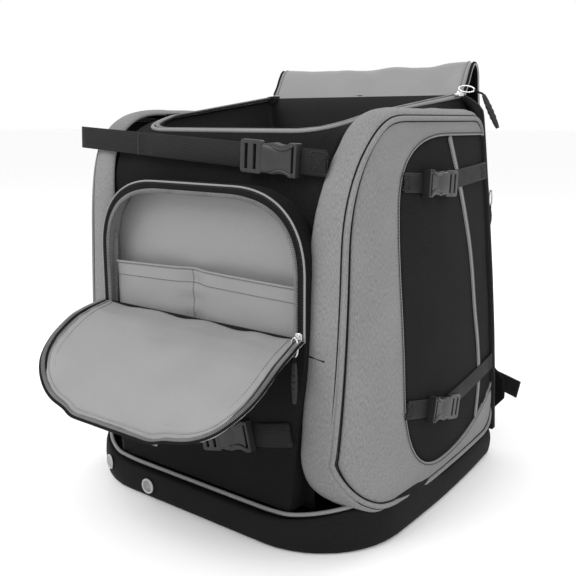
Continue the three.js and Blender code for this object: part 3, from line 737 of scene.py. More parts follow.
def welt(sign, name):
    """The covered piping round the door, with a near-black line on each side of it as painted shade in the grooves
    beside the piping.
    """
    body = "boot_door_" + name
    outline = boot_outline(OUTLINE_STEPS)
    for part, extra, lift, radius, material, slot in (
        ("welt", 0, 0.8, 2.7, GREY, "grey_fabric"),
        # The two near-black cords paint the shade in the grooves on each side of the piping.
        ("welt_shade_line_outer", -3.0, -0.4, 0.9, TAPE, "black_fabric"),
        ("welt_shade_line_inner", 3.0, 0.5, 0.9, TAPE, "black_fabric"),
    ):
        path = along_side(inset(outline, extra), lift, sign)[0]
        cord(part + "_" + name, path, radius, material, body, slot)
    rear = [Vector((rear_edge_y(z) - 2.5, z)) for z in range(415, 70, -5)]
    points, normals = along_side(rear, 0.6, sign)
    place(strap("door_rear_tape_" + name, points, normals, 9, TAPE, 1.0), body, "black_fabric")
    points = mirrored([on_side(p.x + 3.2, p.y, 1.2) for p in rear], sign)
    zip_teeth("door_rear_coil_" + name, points, normals, body)


STRIPE = [(16, 415), (47, 351), (73, 283), (88, 212), (101, 163), (107, 116), (100, 72)]


def side_stripe(sign, name):
    path = smooth(STRIPE, 60)
    points, normals = along_side(path, 1.2, sign)
    tape = strap("stripe_tape_" + name, points, normals, 10, STRIPE_TAPE, 0.9)
    place(tape, "boot_door_" + name, "grey_trim", "side_stripe_" + name)
    for out, part in ((3.9, "front"), (-3.9, "rear")):
        line = [p - n * out for p, n in zip(path, outward(path))]
        points = along_side(line, 2.0, sign)[0]
        stitching(f"stripe_stitching_{part}_{name}", points, normals, "boot_door_" + name, "grey_trim")


def seam_across(sign, name):
    """The gusset's own cross seam, level with the hem of the front pocket's mouth. Its near-black cord is partly
    the seam's thread and partly painted shade in its groove.
    """
    z = 208
    x0, x1 = panel_edge(z), side_x(-183, z) - 8
    points = [Vector((sign * (x0 + (x1 - x0) * i / 8), -181.6, z - 3 * i / 8)) for i in range(9)]
    cord("gusset_seam_and_shade_" + name, points, 0.8, TAPE, "bag", "grey_fabric")


for side, g in SIDES:
    shell = thicken(grid("gusset_" + side, gusset(g), [GREY, DARK_LINING_AND_SHADE]), 2.5, None, (g * 150, 0, 235))
    place(shell, "bag", "grey_fabric", "boot_shell_" + side)
    door_panels(g, side)
    welt(g, side)
    side_stripe(g, side)
    seam_across(g, side)


# ---------------------------------------------------------------- front panel, rim and main compartment
RIM_Z = 421
RIM_Y = -137
RIM_CORNER = Vector((143, -75, 436))
RIM_REAR = Vector((149, 124, 461))
RIM_STRAIGHT = 0.62  # the share of the rim's front that is straight
BEND_Z = 330  # where the front panel starts to lean back towards the rim
LINING_FLOOR = 38


def rim_front(u):
    """The rim across the front, u from -1 to 1."""
    side = abs(u)
    if side < RIM_STRAIGHT:
        return Vector((u * 150, RIM_Y - 2 * (1 - (side / RIM_STRAIGHT) ** 2), RIM_Z))
    t = (side - RIM_STRAIGHT) / (1 - RIM_STRAIGHT)
    p = bezier([(93, RIM_Y, RIM_Z), (138, RIM_Y, 422), tuple(RIM_CORNER)], 24)[round(24 * t)]
    return Vector((math.copysign(p.x, u), p.y, p.z))


def rim_path():
    """The whole rim from the rear right round the front to the rear left."""
    steps = 16
    right = [RIM_REAR.lerp(RIM_CORNER, i / steps) for i in range(steps)]
    front = [rim_front(1 - i / 40) for i in range(81)]
    return right + front + mirrored(right[::-1], -1)


def front_panel_rows():
    rows = []
    for i in range(61):
        u = -1 + i / 30
        rim = rim_front(u)
        side = clamp((abs(u) - 0.5) / 0.5) ** 2
        row = []
        for z in range(36, BEND_Z, 14):
            x = u * (panel_edge(z) + 1)
            row.append(Vector((x, PANEL_Y - 1.5 * (1 - u * u) + 0.7 * rough_noise(x, 0, z, 60), z)))
        start = Vector((u * 146, PANEL_Y, BEND_Z))
        bend = Vector((u * 158, PANEL_Y - 2 - 6 * side, 400 + 26 * side))
        row += bezier([start, bend, rim], 14)
        rows.append(row)
    return rows


def rim_wall_rows(sign):
    """The wall between a boot compartment's top and the rim."""
    rows = []
    for i in range(17):
        u = i / 16
        rim = RIM_CORNER.lerp(RIM_REAR, u)
        foot = Vector((160, rim.y, 428))
        row = bezier([foot, (157, rim.y, 446), rim], 8)
        rows.append(mirrored(row, sign))
    return rows


def main_compartment():
    panel = thicken(grid("front_panel", front_panel_rows(), [BLACK, DARK_LINING_AND_SHADE]), 3, (0, -1, 0))
    place(panel, "bag", "black_fabric", "main_shell")
    for side, g in SIDES:
        wall = thicken(grid("rim_wall_" + side, rim_wall_rows(g), [BLACK, DARK_LINING_AND_SHADE]), 2, (g, 0, 0.5))
        place(wall, "bag", "black_fabric")
    path = rim_path()
    cord("rim_piping", path, 2.4, PIPING, "bag", "grey_trim")
    # A near-black cord in the groove under the rim piping: the seam there, darkened as painted shade.
    cord("rim_seam_shade", [p + Vector((0, 0, -2.9)) for p in path], 1.1, TAPE, "bag", "black_fabric")
    up = [Vector((0, 0, 1))] * len(path)
    inner = [p - Vector((p.x, p.y, 0)).normalized() * 5.5 + Vector((0, 0, 0.6)) for p in path]
    place(strap("rim_zip_tape", inner, up, 10, TAPE, 1), "bag", "black_fabric")
    zip_teeth("rim_zip_coil", [p + Vector((0, 0, 1.8)) for p in inner], up, "bag")


def tub():
    """The lining of the main compartment, from the rim down its leaning walls to the floor. It is near-black as
    painted shade: the lining itself is grey like the pocket's.
    """
    path = rim_path()
    back = [Vector((149, 126, 462)).lerp(Vector((-149, 126, 462)), i / 30) for i in range(31)]
    top = resample(join(path[::-1], back, [path[-1]]), 160)[:-1]
    rows = []
    levels = 16
    for k in range(levels + 1):
        v = k / levels
        row = []
        for p in top:
            z = p.z + (LINING_FLOOR - p.z) * v
            half = 75 + 61 * (z - 33) / 297 if z < BEND_Z else 136 + 14 * clamp((z - BEND_Z) / 80)
            y0 = PANEL_Y + 5 if z < BEND_Z else PANEL_Y + 5 + 20 * clamp((z - BEND_Z) / 95)
            y1 = rear_edge_y(z) - 5
            x = clamp(p.x / 147, -1, 1) * half
            y = y0 + clamp((p.y + 138) / 262) * (y1 - y0)
            pull = min(1, 3 * v)
            fold = 2.2 * rough_noise(p.x, p.y, z, 70) * pull
            row.append(p.lerp(Vector((x, y, z)), pull) + Vector((fold, fold * 0.6, 0)))
        rows.append(row)
    centre = Vector((0, 0, LINING_FLOOR))
    rows.append([p.lerp(centre, 0.6) for p in rows[-1]])
    rows.append([p.lerp(centre, 0.98) for p in rows[-1]])
    # The near-black lining colour here is painted shade; the lining itself is grey.
    place(grid("main_lining", rows, [DARK_LINING_AND_SHADE], close=True), "bag", "lining")


main_compartment()
tub()


def plan(lift, front=FRONT, corner=FRONT_CORNER, steps=10):
    """(x, y) of the bag's form seen from above, clockwise from the middle of the front."""
    a = HALF_WIDTH + lift
    f = front + lift
    b = BACK + lift
    rf = corner + lift
    rb = REAR_CORNER + lift
    ab = a - TAPER

    def arc(cx, cy, r, start):
        turns = [math.radians(start + 90 * i / steps) for i in range(steps + 1)]
        return [Vector((cx + r * math.cos(t), cy + r * math.sin(t))) for t in turns]

    right = join(
        [(0, -f)],
        arc(a - rf, rf - f, rf, -90),
        bezier([(a, rf - f), (a, (b - rb - f + rf) / 2), (ab, b - rb)], 12),
        arc(ab - rb, b - rb, rb, 0),
        [(0, b)],
    )
    return join(right, [Vector((-p.x, p.y)) for p in right[::-1]])[:-1]


def warped(p, z, foot=1.0):
    return Vector((p.x * width_share(z) * foot, p.y * (back_y(z) / BACK if p.y > 0 else 1) * foot, z))


BASE_FRONT = -low("base_boot").y - 3
BASE_CORNER = 102
PIPING_REACH = 192  # how far the base's piping runs to each side, in under the gussets


def lip_z(x):
    return BASE_TOP + 17 * clamp((abs(x) - 90) / 100) ** 2


def base():
    """The padded base: it bulges between its seam on the floor and its top edge."""
    profile = [(0.0, -10), (0.0, -3), (0.06, 0.4), (0.16, 2.0), (0.35, 3.4)]
    profile += [(0.6, 3.8), (0.8, 3.2), (0.93, 1.6), (1, 0)]
    rows = []
    for share, lift in profile:
        path = plan(lift, BASE_FRONT, BASE_CORNER)
        path = resample(path + path[:1], 220)[:-1]
        row = []
        for p in path:
            top = lip_z(p.x) if p.y < -60 else BASE_TOP + (lip_z(p.x) - BASE_TOP) * clamp((-p.y) / 60)
            z = top * share
            bulge = 0.8 * rough_noise(p.x, p.y, z, 45) * math.sin(math.pi * share)
            row.append(warped(p, z) + Vector((0, bulge, 0)))
        rows.append(row)
    under = rows[0]
    rows.insert(0, [Vector((p.x * 0.5, p.y * 0.5, 0)) for p in under])
    rows.insert(0, [Vector((p.x * 0.01, p.y * 0.01, 0)) for p in under])
    top_edge = rows[-1]
    for share in (0.93, 0.6, 0.01):
        rows.append([Vector((p.x * share, p.y * share, min(p.z, 28))) for p in top_edge])
    place(grid("padded_base", rows, [BASE], close=True), "bag", "base_fabric", "base_boot")


def base_trim():
    corner_x, corner_y = HALF_WIDTH - BASE_CORNER, BASE_CORNER - BASE_FRONT
    path = []
    for x in range(-PIPING_REACH, PIPING_REACH + 1, 6):
        past = max(0, abs(x) - corner_x)
        round_front = corner_y - math.sqrt((BASE_CORNER + 3) ** 2 - past ** 2)
        path.append(Vector((x, max(POCKET_Y - 4, round_front + 9), lip_z(x) + 2.6)))
    cord("base_piping_cord", path, 2.2, PIPING, "bag", "grey_trim", "base_piping")
    # A near-black cord in the groove under the base piping: the seam there, darkened as painted shade.
    under = [p + Vector((0, -0.4, -2.6)) for p in path]
    cord("base_piping_seam_shade", under, 0.8, TAPE, "bag", "base_fabric")


base()
base_trim()


# ---------------------------------------------------------------- back panel
def back_panel():
    """The padded back from one boot zip to the other, quilted in three upright channels."""
    rear = resample(sorted_round([p for p in plan(0) if p.y > 120]), 90)
    rows = []
    for i in range(61):
        z = 34 + (465 - 34) * i / 60
        row = []
        for p in rear:
            q = warped(p, z)
            q.y = max(q.y, rear_edge_y(z) + 1)
            high_up = clamp((z - 440) / 25)
            q.x *= 1 - 0.17 * high_up ** 2
            channel = abs(math.sin(math.pi * q.x / 120)) ** 0.5
            row.append(q + Vector((0, 2.2 * channel - 1.8 + 0.6 * rough_noise(q.x, 0, z, 40), 0)))
        rows.append(row)
    made = thicken(grid("padded_back_panel", rows, [BLACK, DARK_LINING_AND_SHADE]), 8, (0, 1, 0))
    place(made, "bag", "black_fabric", "back_panel")


def sorted_round(points):
    """Points of the rear half in order, from the right round the back to the left."""
    return sorted(points, key=lambda p: math.atan2(-p.x, p.y - 60))


back_panel()


# ---------------------------------------------------------------- front pocket
POCKET_MIDDLE_Z = 225
OUT_FRONT = Vector((0, -1, 0))


def arch(inset_by, n=90):
    """(x, z) round the pocket's mouth, from the hinge line on the right over the top to the left."""
    h = POCKET_HALF - inset_by
    top = POCKET_TOP - inset_by
    right = join(
        [(h, FLAP_HINGE), (h, 285)],
        bezier([(h, 285), (h, 335), (h - 30, top), (h - 88, top)], 16),
        [(0, top)],
    )
    return resample(join(right, [Vector((-p.x, p.y)) for p in right[::-1]]), n)


def lower_side(z):
    """Half width of the pocket below its mouth."""
    if z > 180:
        return POCKET_HALF - 2 * clamp((FLAP_HINGE - z) / 42) ** 2
    if z > 130:
        return POCKET_HALF - 9 + 7 * clamp((z - 130) / 50)
    return POCKET_HALF - 9 - 9 * clamp((130 - z) / 90)


def pocket_front():
    """The pocket's swollen black front, below its mouth."""
    rows = []
    for i in range(49):
        u = -1 + i / 24
        row = []
        for k in range(29):
            t = k / 28
            z = POCKET_FOOT + (FLAP_HINGE - POCKET_FOOT) * t
            swell = 3.5 * (1 - u ** 4) * math.sin(math.pi * min(1, t * 1.15))
            x = u * lower_side(z)
            row.append(Vector((x, POCKET_Y - swell + 1.1 * rough_noise(x, 3, z, 48), z)))
        row.append(Vector((u * (POCKET_HALF - 3), POCKET_Y + 5, FLAP_HINGE + 1)))
        rows.append(row)
    front = thicken(grid("pocket_front", rows, [BLACK, LINING]), 2, (0, -1, 0))
    place(front, "bag", "black_fabric", "front_pocket_shell")


def pocket_gusset():
    """The band that joins the pocket's outline to the front panel."""
    edge = arch(0)
    foot_right = [Vector((lower_side(z), z)) for z in range(int(POCKET_FOOT), int(FLAP_HINGE), 8)]
    outline = join(foot_right, edge, [Vector((-p.x, p.y)) for p in foot_right[::-1]])
    rows = []
    for p in outline:
        row = [Vector((p.x, PANEL_Y + 1 + (POCKET_Y - PANEL_Y - 1) * k / 8, p.y)) for k in range(9)]
        rows.append(row)
    wall = thicken(grid("pocket_gusset", rows, [BLACK, LINING]), 1.6, None, (0, -176, POCKET_MIDDLE_Z))
    place(wall, "bag", "black_fabric")


def pocket_lining():
    """The lining on the pocket's back wall, from the mouth's outline in to its middle."""
    rows = []
    for share in (1, 0.8, 0.6, 0.4, 0.2, 0.02):
        row = []
        for q in arch(3):
            y = PANEL_Y - 2.2 + 0.8 * rough_noise(q.x * share, 9, q.y, 34)
            row.append(Vector((q.x * share, y, POCKET_MIDDLE_Z + (q.y - POCKET_MIDDLE_Z) * share)))
        rows.append(row)
    place(grid("pocket_back_lining", rows, [LINING]), "bag", "lining")


def mouth_zip():
    """The zip round the pocket's mouth: tape inside the edge, light teeth on its lip."""
    edge = arch(0)
    points = [Vector((p.x, POCKET_Y - 0.8, p.y)) for p in edge]
    facing = [OUT_FRONT] * len(points)
    cord("pocket_edge_cord", points, 1.1, PIPING, "bag", "grey_trim")
    tape = [Vector((p.x, POCKET_Y - 0.5, p.y)) for p in arch(5)]
    place(strap("mouth_tape", tape, facing, 11, TAPE, 1), "bag", "black_fabric")
    zip_teeth("mouth_coil", [Vector((p.x, POCKET_Y - 1.7, p.y)) for p in arch(10)], facing, "bag")
    line = [Vector((p.x, POCKET_Y - 1.5, p.y)) for p in arch(2)]
    stitching("mouth_stitching", line, facing, "bag", "black_fabric", 0.2)


def sleeve():
    """Two glove pockets of lining: a hemmed sheet gathered a little by the seam between them."""
    z0, z1 = low("glove_sleeve").z, high("glove_sleeve").z
    y = low("glove_sleeve").y
    middle = -13.5
    rows = []
    for i in range(67):
        x = -131 + 262 * i / 66
        near = math.exp(-((x - middle) / 16) ** 2)
        row = []
        for k in range(31):
            t = k / 30
            z = z0 + (z1 + 3 * math.sin(math.pi * (x + 131) / 262) - z0) * t
            swell = 5.5 * abs(math.sin(math.pi * (x - middle) / 150)) * t ** 1.5
            pucker = near * 1.6 * math.sin(z / 3.4) + 0.9 * rough_noise(x, 4, z, 22)
            row.append(Vector((x, y + 6 * near - swell * 0.7 + pucker * 0.6, z)))
        rows.append(row)
    sheet = thicken(grid("glove_pockets", rows, [LINING, LINING]), 0.9, (0, -1, 0))
    place(sheet, "bag", "lining", "glove_sleeve")
    hem = [row[-1] + Vector((0, -0.4, 0)) for row in rows]
    hem_edge = cord("glove_pocket_hem", hem, 1.3, PIPING, "bag", "grey_trim")
    facing = [OUT_FRONT] * len(rows)
    stitching("glove_pocket_stitching", [row[-4] for row in rows], facing, "bag", "lining", 0.3)
    seam = rows[29]
    stitching("glove_pocket_middle_seam", seam, [OUT_FRONT] * len(seam), "bag", "lining", 0.5)


FLAP_LENGTH = POCKET_TOP - FLAP_HINGE
FLAP_TAPE = 6


def flap_half(d):
    """Half width of the flap at a distance from its hinge."""
    outline = arch(0, 240)
    for a, b in zip(outline, outline[1:]):
        if a.y - FLAP_HINGE <= d <= b.y - FLAP_HINGE and a.x > 0:
            return a.x
    return POCKET_HALF - 88


FLAP_ROWS = 800  # steps along the flap to find its edge by
FLAP_OVERLAP = 4  # how far the flap reaches past the mouth on each side
EDGE_STEPS = 160  # steps round the flap's edge


def flap_profile(n):
    """(distance, y, z, normal) down the middle of the open flap, which hangs more towards its tip."""
    out = []
    y, z = POCKET_Y - 1.5, FLAP_HINGE + 1.0
    step = (FLAP_LENGTH + FLAP_TAPE) / n
    for i in range(n + 1):
        d = i * step
        drop = math.radians(14 + 40 * clamp(d / FLAP_LENGTH) ** 0.85)
        out.append((d, y, z, Vector((0, -math.sin(drop), math.cos(drop)))))
        y -= math.cos(drop) * step
        z -= math.sin(drop) * step
    return out


def flap_point(s, d, y, z, normal, lift=0.0):
    half = flap_half(min(d, FLAP_LENGTH)) + (FLAP_OVERLAP if d > 60 else FLAP_OVERLAP * d / 60)
    x = s * half
    lip = 9 * clamp((-s - 0.72) / 0.28) ** 2 * clamp(d / 40) * clamp((150 - d) / 70)
    crown = 3.5 * (1 - s * s) * clamp(d / 25)
    rim = clamp((abs(s) - 0.8) / 0.15) + clamp((d - FLAP_LENGTH + 24) / 20)
    ripple = 2.4 * rough_noise(x, d, 7, 42) + 1.4 * rough_noise(x / 2, d * 2, 1, 20) * clamp(1 - d / 60)
    ripple += 0.8 * min(1, rim) * rough_noise(x, d, 3, 9)
    return Vector((x, y, z)) + normal * (lip + crown + ripple + lift)


def flap_edge(inward, lift):
    """A line on the flap, that far inside its edge, from the hinge on the right round the tip to the left."""
    end = FLAP_LENGTH + FLAP_TAPE
    reach = [end * i / 60 for i in range(61)]
    right = [Vector((flap_half(min(d, FLAP_LENGTH)) + FLAP_OVERLAP, d, 0)) for d in reach]
    left = [Vector((-p.x, p.y, 0)) for p in right[::-1]]
    outline = relaxed(resample(join(right, left), 200), 12)
    profile = flap_profile(FLAP_ROWS)
    points = []
    for before, at, after in zip(outline, outline[1:], outline[2:]):
        along = (after - before).normalized()
        spot = at + Vector((-along.y, along.x, 0)) * inward
        row = profile[round(clamp(spot.y / end) * FLAP_ROWS)]
        half = flap_half(min(row[0], FLAP_LENGTH)) + FLAP_OVERLAP
        if spot.y > 0:
            points.append(flap_point(clamp(spot.x / half, -1, 1), *row, lift))
    return relaxed(points, 6)


def flap():
    rows = [[flap_point(-1 + i / 24, *row) for i in range(49)] for row in flap_profile(44)]
    sheet = thicken(grid("pocket_flap", rows, [LINING, BLACK]), 2.4, (0, -0.4, 1))
    place(sheet, "front_flap", "lining", "front_flap")
    around = resample(flap_edge(2.5, 0.6), EDGE_STEPS)
    up = [Vector((0, -0.45, 0.9))] * len(around)
    tape = strap("flap_tape", around, up, 10, TAPE, 1)
    place(tape, "front_flap", "black_fabric")
    coil = zip_teeth("flap_coil", [p + Vector((0, -0.3, 1.4)) for p in around], up, "front_flap")
    hem = resample(flap_edge(9, 0.9), EDGE_STEPS)
    edge = cord("flap_hem_edge", hem, 0.8, PIPING, "front_flap", "grey_trim")
    line = resample(flap_edge(17, 0.3), EDGE_STEPS)
    stitches = stitching("flap_hem_stitching", line, up, "front_flap", "lining", 0.3)
    for piece in (sheet, tape, coil, edge, stitches):
        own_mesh(piece)


pocket_front()
pocket_gusset()
pocket_lining()
mouth_zip()
sleeve()
flap()


# ---------------------------------------------------------------- lid
LID_END_Z = low("lid_fall").z
LID_HALF = high("lid_fall").x


def lid_profile(n):
    """(y, z, normal) down the middle of the lid: up from the back panel, over the fold and down behind."""
    rise = bezier([(126, 459), (133, 484), (140, 503), (151, 506)], 14)
    over = bezier([(151, 506), (160, 508), (168, 500), (172, 486)], 12)
    fall = bezier([(172, 486), (184, 440), (192, 380), (209, LID_END_Z + 2)], 20)
    path = resample(join(rise, over, fall), n)
    return [(p.x, p.y, Vector((0, nrm.x, nrm.y))) for p, nrm in zip(path, outward_left(path))]


def outward_left(points):
    return [-n for n in outward(points)]


def lid_point(s, k, n, y, z, normal, lift=0.0):
    d = k / n
    half = LID_HALF + 2
    if d > 0.78:
        t = (d - 0.78) / 0.22
        half -= 52 * (1 - math.sqrt(max(0.0, 1 - t * t)))
    x = s * half
    sag = -7 * (1 - s * s) * math.exp(-((d - 0.18) / 0.1) ** 2)
    ripple = 4 * rough_noise(x, d * 250, 5, 60) + 1.2 * rough_noise(x, d * 250, 2, 24) - 3
    curl = -5 * clamp((abs(s) - 0.85) / 0.15) ** 2
    return Vector((x, y, z + sag)) + normal * ((ripple + curl) * clamp(d * 12) + lift)


def lid():
    n = 56
    profile = lid_profile(n)
    rows = [[lid_point(-1 + i / 24, k, n, *row) for i in range(49)] for k, row in enumerate(profile)]
    sheet = thicken(grid("lid_sheet", rows, [LINING, BLACK]), 2.2, None, (0, 150, 400))
    place(sheet, None, "lining", "lid_rise", "lid_fall")
    edge_path = {}
    for inward in (2.0, 9.0):
        share = 1 - inward / 150
        right = [lid_point(share, k, n, *row, 0.4) for k, row in enumerate(profile)][2:-2]
        bottom = [lid_point(0.6 - 1.2 * i / 24, n - 1, n, *profile[-2], 0.4) for i in range(25)]
        left = [lid_point(-share, k, n, *row, 0.4) for k, row in enumerate(profile)][2:-2]
        edge_path[inward] = resample(join(right, bottom, left[::-1]), 220)
    seam = cord("lid_edge_piping", edge_path[2.0], 1.6, TAPE, None, "black_fabric")
    hem = cord("lid_hem_edge", edge_path[9.0], 0.8, PIPING, None, "grey_trim")
    for made in (sheet, seam, hem):
        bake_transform(made)


lid()


# ---------------------------------------------------------------- moulded and metal fittings
BODY_OF = {node: body for body, nodes in frame["record"]["behaviour"]["bodies"].items() for node in nodes}


def refined(node, bevel, material, slot):
    """A CAD fitting with moulded, rounded edges in place of its sharp ones."""
    source = frame["nodes"][node]
    obj = linked(node + "_moulded", source.data.copy())
    obj.data.materials.clear()
    obj.data.materials.append(material)
    weld = obj.modifiers.new("weld", "WELD")
    weld.merge_threshold = 0.00002
    flat = obj.modifiers.new("flat", "DECIMATE")
    flat.decimate_type = "DISSOLVE"
    flat.angle_limit = math.radians(4)
    settle(obj)
    bevelled(obj, bevel)
    return place(obj, BODY_OF[node], slot, node)


for node in frame["nodes"]:
    if "buckle" in node or "ladder_lock" in node:
        refined(node, 0.7, PLASTIC, "buckle_plastic")
    elif node.endswith("_slider"):
        refined(node, 0.6, METAL, "zip_metal")


def vent(node, centre, facing):
    """A round moulded vent: a rolled rim, a sunken mesh of crossed bars and a dark cloth behind it."""
    side = Vector((0, 0, 1)).cross(facing).normalized()
    up = facing.cross(side)

    def ring(radius, out, steps=40):
        turns = [2 * math.pi * i / steps for i in range(steps)]
        return [centre + (side * math.cos(t) + up * math.sin(t)) * radius + facing * out for t in turns]

    rim = [ring(r, out) for r, out in ((9, 0), (9, 1.2), (8.5, 1.8), (7.6, 1.9), (6.9, 1.4), (6.7, 0.3))]
    place(grid(node + "_rim", rim, [VENT], close=True), BODY_OF[node], "vent_plastic", node)
    disc = [ring(r, 0.35) for r in (6.8, 4, 0.1)]
    place(grid(node + "_cloth", disc, [DARK_LINING_AND_SHADE], close=True), BODY_OF[node], "base_fabric")
    spots = []
    for i in range(-3, 4):
        reach = math.sqrt(max(0, 6.8 ** 2 - (i * 1.9) ** 2))
        for a, b in ((side, up), (up, side)):
            spots.append((centre + a * (i * 1.9) + facing * 0.9, b * (2 * reach), a, facing))
    place(blocks(node + "_mesh", spots, (1, 0.8, 0.8), VENT), BODY_OF[node], "vent_plastic")


def vents():
    for node, turn in (("vent_front", 0), ("vent_corner", math.radians(20))):
        middle = (low(node) + high(node)) / 2
        facing = Vector((-math.sin(turn), -math.cos(turn), 0))
        vent(node, middle + facing * 0.6, facing)


vents()


def joint(name):
    return next(j for j in frame["joints"] if j["name"] == name)


def strap_along(prefix):
    """Unit vector along a strap from its male buckle half to its female half."""
    return -Vector(joint(prefix + "_release")["axis"]).normalized()


def buckle_frame(prefix):
    """(mouth at the outer face, along, across, facing) of a strap's buckle."""
    along = strap_along(prefix)
    middle = (low(prefix + "_buckle_female") + high(prefix + "_buckle_female")) / 2
    facing = OUT_FRONT
    if "side" in prefix:
        facing = Vector((math.copysign(1, middle.x), 0, 0))
    facing = (facing - along * facing.dot(along)).normalized()
    across = along.cross(facing)
    return middle - along * 21 + facing * 4.6, along, across, facing


def shield(prefix, half):
    """The raised pointed shield on the buckle's female half, with the arms that run from it to the strap."""
    mouth, along, across, facing = buckle_frame(prefix)
    rows = []
    for i in range(15):
        t = i / 14
        wide = (half - 2.5) * math.sqrt(max(0.0, 1 - t ** 1.8)) + 0.05
        rise = 2.2 * (1 - t ** 2) + 0.2
        row = []
        for k in range(13):
            turn = math.pi * k / 12
            point = mouth + along * (1 + 24 * t) + across * (wide * math.cos(turn))
            row.append(point + facing * (rise * math.sin(turn) - 0.4))
        rows.append(row)
    body = BODY_OF[prefix + "_buckle_female"]
    place(grid(prefix + "_buckle_shield", rows, [PLASTIC]), body, "buckle_plastic")
    for sign, name in ((1, "upper"), (-1, "lower")):
        controls = ((12, half - 3), (22, half - 8), (30, half - 7), (38, half - 1.5))
        path = bezier([mouth + along * a + across * (sign * b) for a, b in controls], 14)
        cord(f"{prefix}_buckle_arm_{name}", path, 1.5, PLASTIC, body, "buckle_plastic")


STRAP_HALVES = {"top_strap": 16.5, "low_strap": 16.5}
STRAP_HALVES.update({f"side_strap_{k}_{side}": 14 for k in ("upper", "lower") for side, _ in SIDES})
for prefix, half in STRAP_HALVES.items():
    shield(prefix, half)


# ---------------------------------------------------------------- zip pulls
def pull(name, points, facing):
    """A bent wire loop, a short cord and a ribbed rubber grip, from the slider down its points."""
    top, bend, grip_top, tip = points
    down = (bend - top).normalized()
    side = down.cross(facing).normalized()
    turns = [2 * math.pi * i / 28 for i in range(28)]
    ring = [top + down * (9 - 9.5 * math.cos(t)) + side * (3.8 * math.sin(t)) for t in turns]
    loop = tube(name + "_loop", ring, 1.0, METAL, closed=True, sides=8)
    place(loop, name, "zip_metal")
    line = smooth([bend, bend.lerp(grip_top, 0.5), grip_top, grip_top.lerp(tip, 0.3)], 16)
    cord(name + "_cord", line, 1.25, TAPE, name, "pull_rubber")
    path = resample([grip_top, tip], 40)
    rows = []
    for i, p in enumerate(path):
        t = i / 40
        swell = math.sin(math.pi * (0.06 + 0.88 * t)) ** 0.35
        rib = 0.28 * math.sin(t * 40) if 0.2 < t < 0.8 else 0
        a, b = 3.5 * swell + rib, 2.3 * swell + rib
        along = (tip - grip_top).normalized()
        across = along.cross(facing).normalized()
        out = across.cross(along)
        turns = [k * math.pi / 8 for k in range(16)]
        rows.append([p + across * (a * math.cos(k)) + out * (b * math.sin(k)) for k in turns])
    grip = grid(name + "_grip", rows, [RUBBER], close=True)
    cap_ends(grip, 16)
    place(grip, name, "pull_rubber", name)


def hanging_pull(name, length):
    lo, hi = low(name), high(name)
    x, y = (lo.x + hi.x) / 2, (lo.y + hi.y) / 2
    outward_to = Vector((x, y + 60, 0)).normalized() if "boot" in name else OUT_FRONT
    top = Vector((x, y, hi.z))
    pull(name, [top - Vector((0, 0, down)) for down in (0, 18, 24, length)], outward_to)


hanging_pull("front_zip_pull", high("front_zip_pull").z - low("front_zip_pull").z)
for side, _ in SIDES:
    hanging_pull(f"boot_zip_{side}_pull", 42)
lid_at = Vector(joint("lid_zip_pull_hinge")["pos_m"]) * MM
pull("lid_zip_pull", [
    lid_at, lid_at + Vector((18, 2, -2.5)), lid_at + Vector((29, 4, -8)), lid_at + Vector((46, 10, -46)),
], Vector((0.35, -0.9, 0.3)).normalized())


# ---------------------------------------------------------------- webbing
def box_stitches(name, centre, along, up, width, body):
    """A rectangle of thread with a cross through it, where webbing is sewn down."""
    across = up.cross(along)
    half = width / 2 - 2.5
    corners = ((-1, -1), (1, -1), (1, 1), (-1, 1))
    a = [centre + along * (u * half) + across * (v * half) + up * 0.15 for u, v in corners]
    runs = [a[0], a[1], a[2], a[3], a[0], a[2]], [a[1], a[3]]
    spots = []
    for run in runs:
        for p, q in zip(run, run[1:]):
            spots += spots_along([p, q], [up, up], 2.8)
    place(blocks(name, spots, (2.0, 0.7, 0.5), THREAD), body, "webbing")


def straight_strap(node, along, body, lift, sag=0.0, stitched=None):
    """Flat webbing across the front, over its CAD strap; sag lets it bow off the fabric."""
    start, end = webbing_ends(node, along)
    points = []
    for i in range(41):
        t = i / 40
        wave = 0.5 * rough_noise(t * 90, start.x, start.z, 30)
        points.append(start.lerp(end, t) + OUT_FRONT * (lift + wave + sag * math.sin(math.pi * t)))
    made = strap(node + "_woven", points, [OUT_FRONT] * 41, WIDE_WEBBING, WEBBING)
    place(made, body, "webbing", node)
    if stitched is not None:
        straight = (end - start).normalized()
        at = start.lerp(end, stitched) + OUT_FRONT * (lift + WEB + 0.4)
        box_stitches(node + "_stitches", at, straight, OUT_FRONT, WIDE_WEBBING, body)


def webbing_ends(node, along):
    """The two ends of a flat CAD strap, on its middle line at its underside."""
    lo, hi = low(node), high(node)
    middle = (lo + hi) / 2
    half = (hi.x - lo.x - abs(along.z) * WIDE_WEBBING) / 2 / abs(along.x)
    under = Vector((middle.x, hi.y, middle.z))
    return under - along * half, under + along * half


LOW_LEFT_ALONG = Vector((0.9832, 0, -0.1826))


def front_straps():
    along = strap_along("top_strap")
    straight_strap("top_strap_webbing_right", along, "bag", 0, stitched=0.75)
    straight_strap("top_strap_webbing_left", along, "bag", 0.2, sag=1.5, stitched=0.075)
    straight_strap("top_strap_tail", along, "top_strap_male", 0)
    straight_strap("low_strap_webbing_right", strap_along("low_strap"), "bag", 0.8, sag=2, stitched=0.82)
    straight_strap("low_strap_webbing_left", LOW_LEFT_ALONG, "bag", 0.8, sag=2.5, stitched=0.12)


SIDE_SLOPES = {"upper_front": -0.066, "lower_front": -0.238, "upper_rear": 0.045, "lower_rear": 0.083}


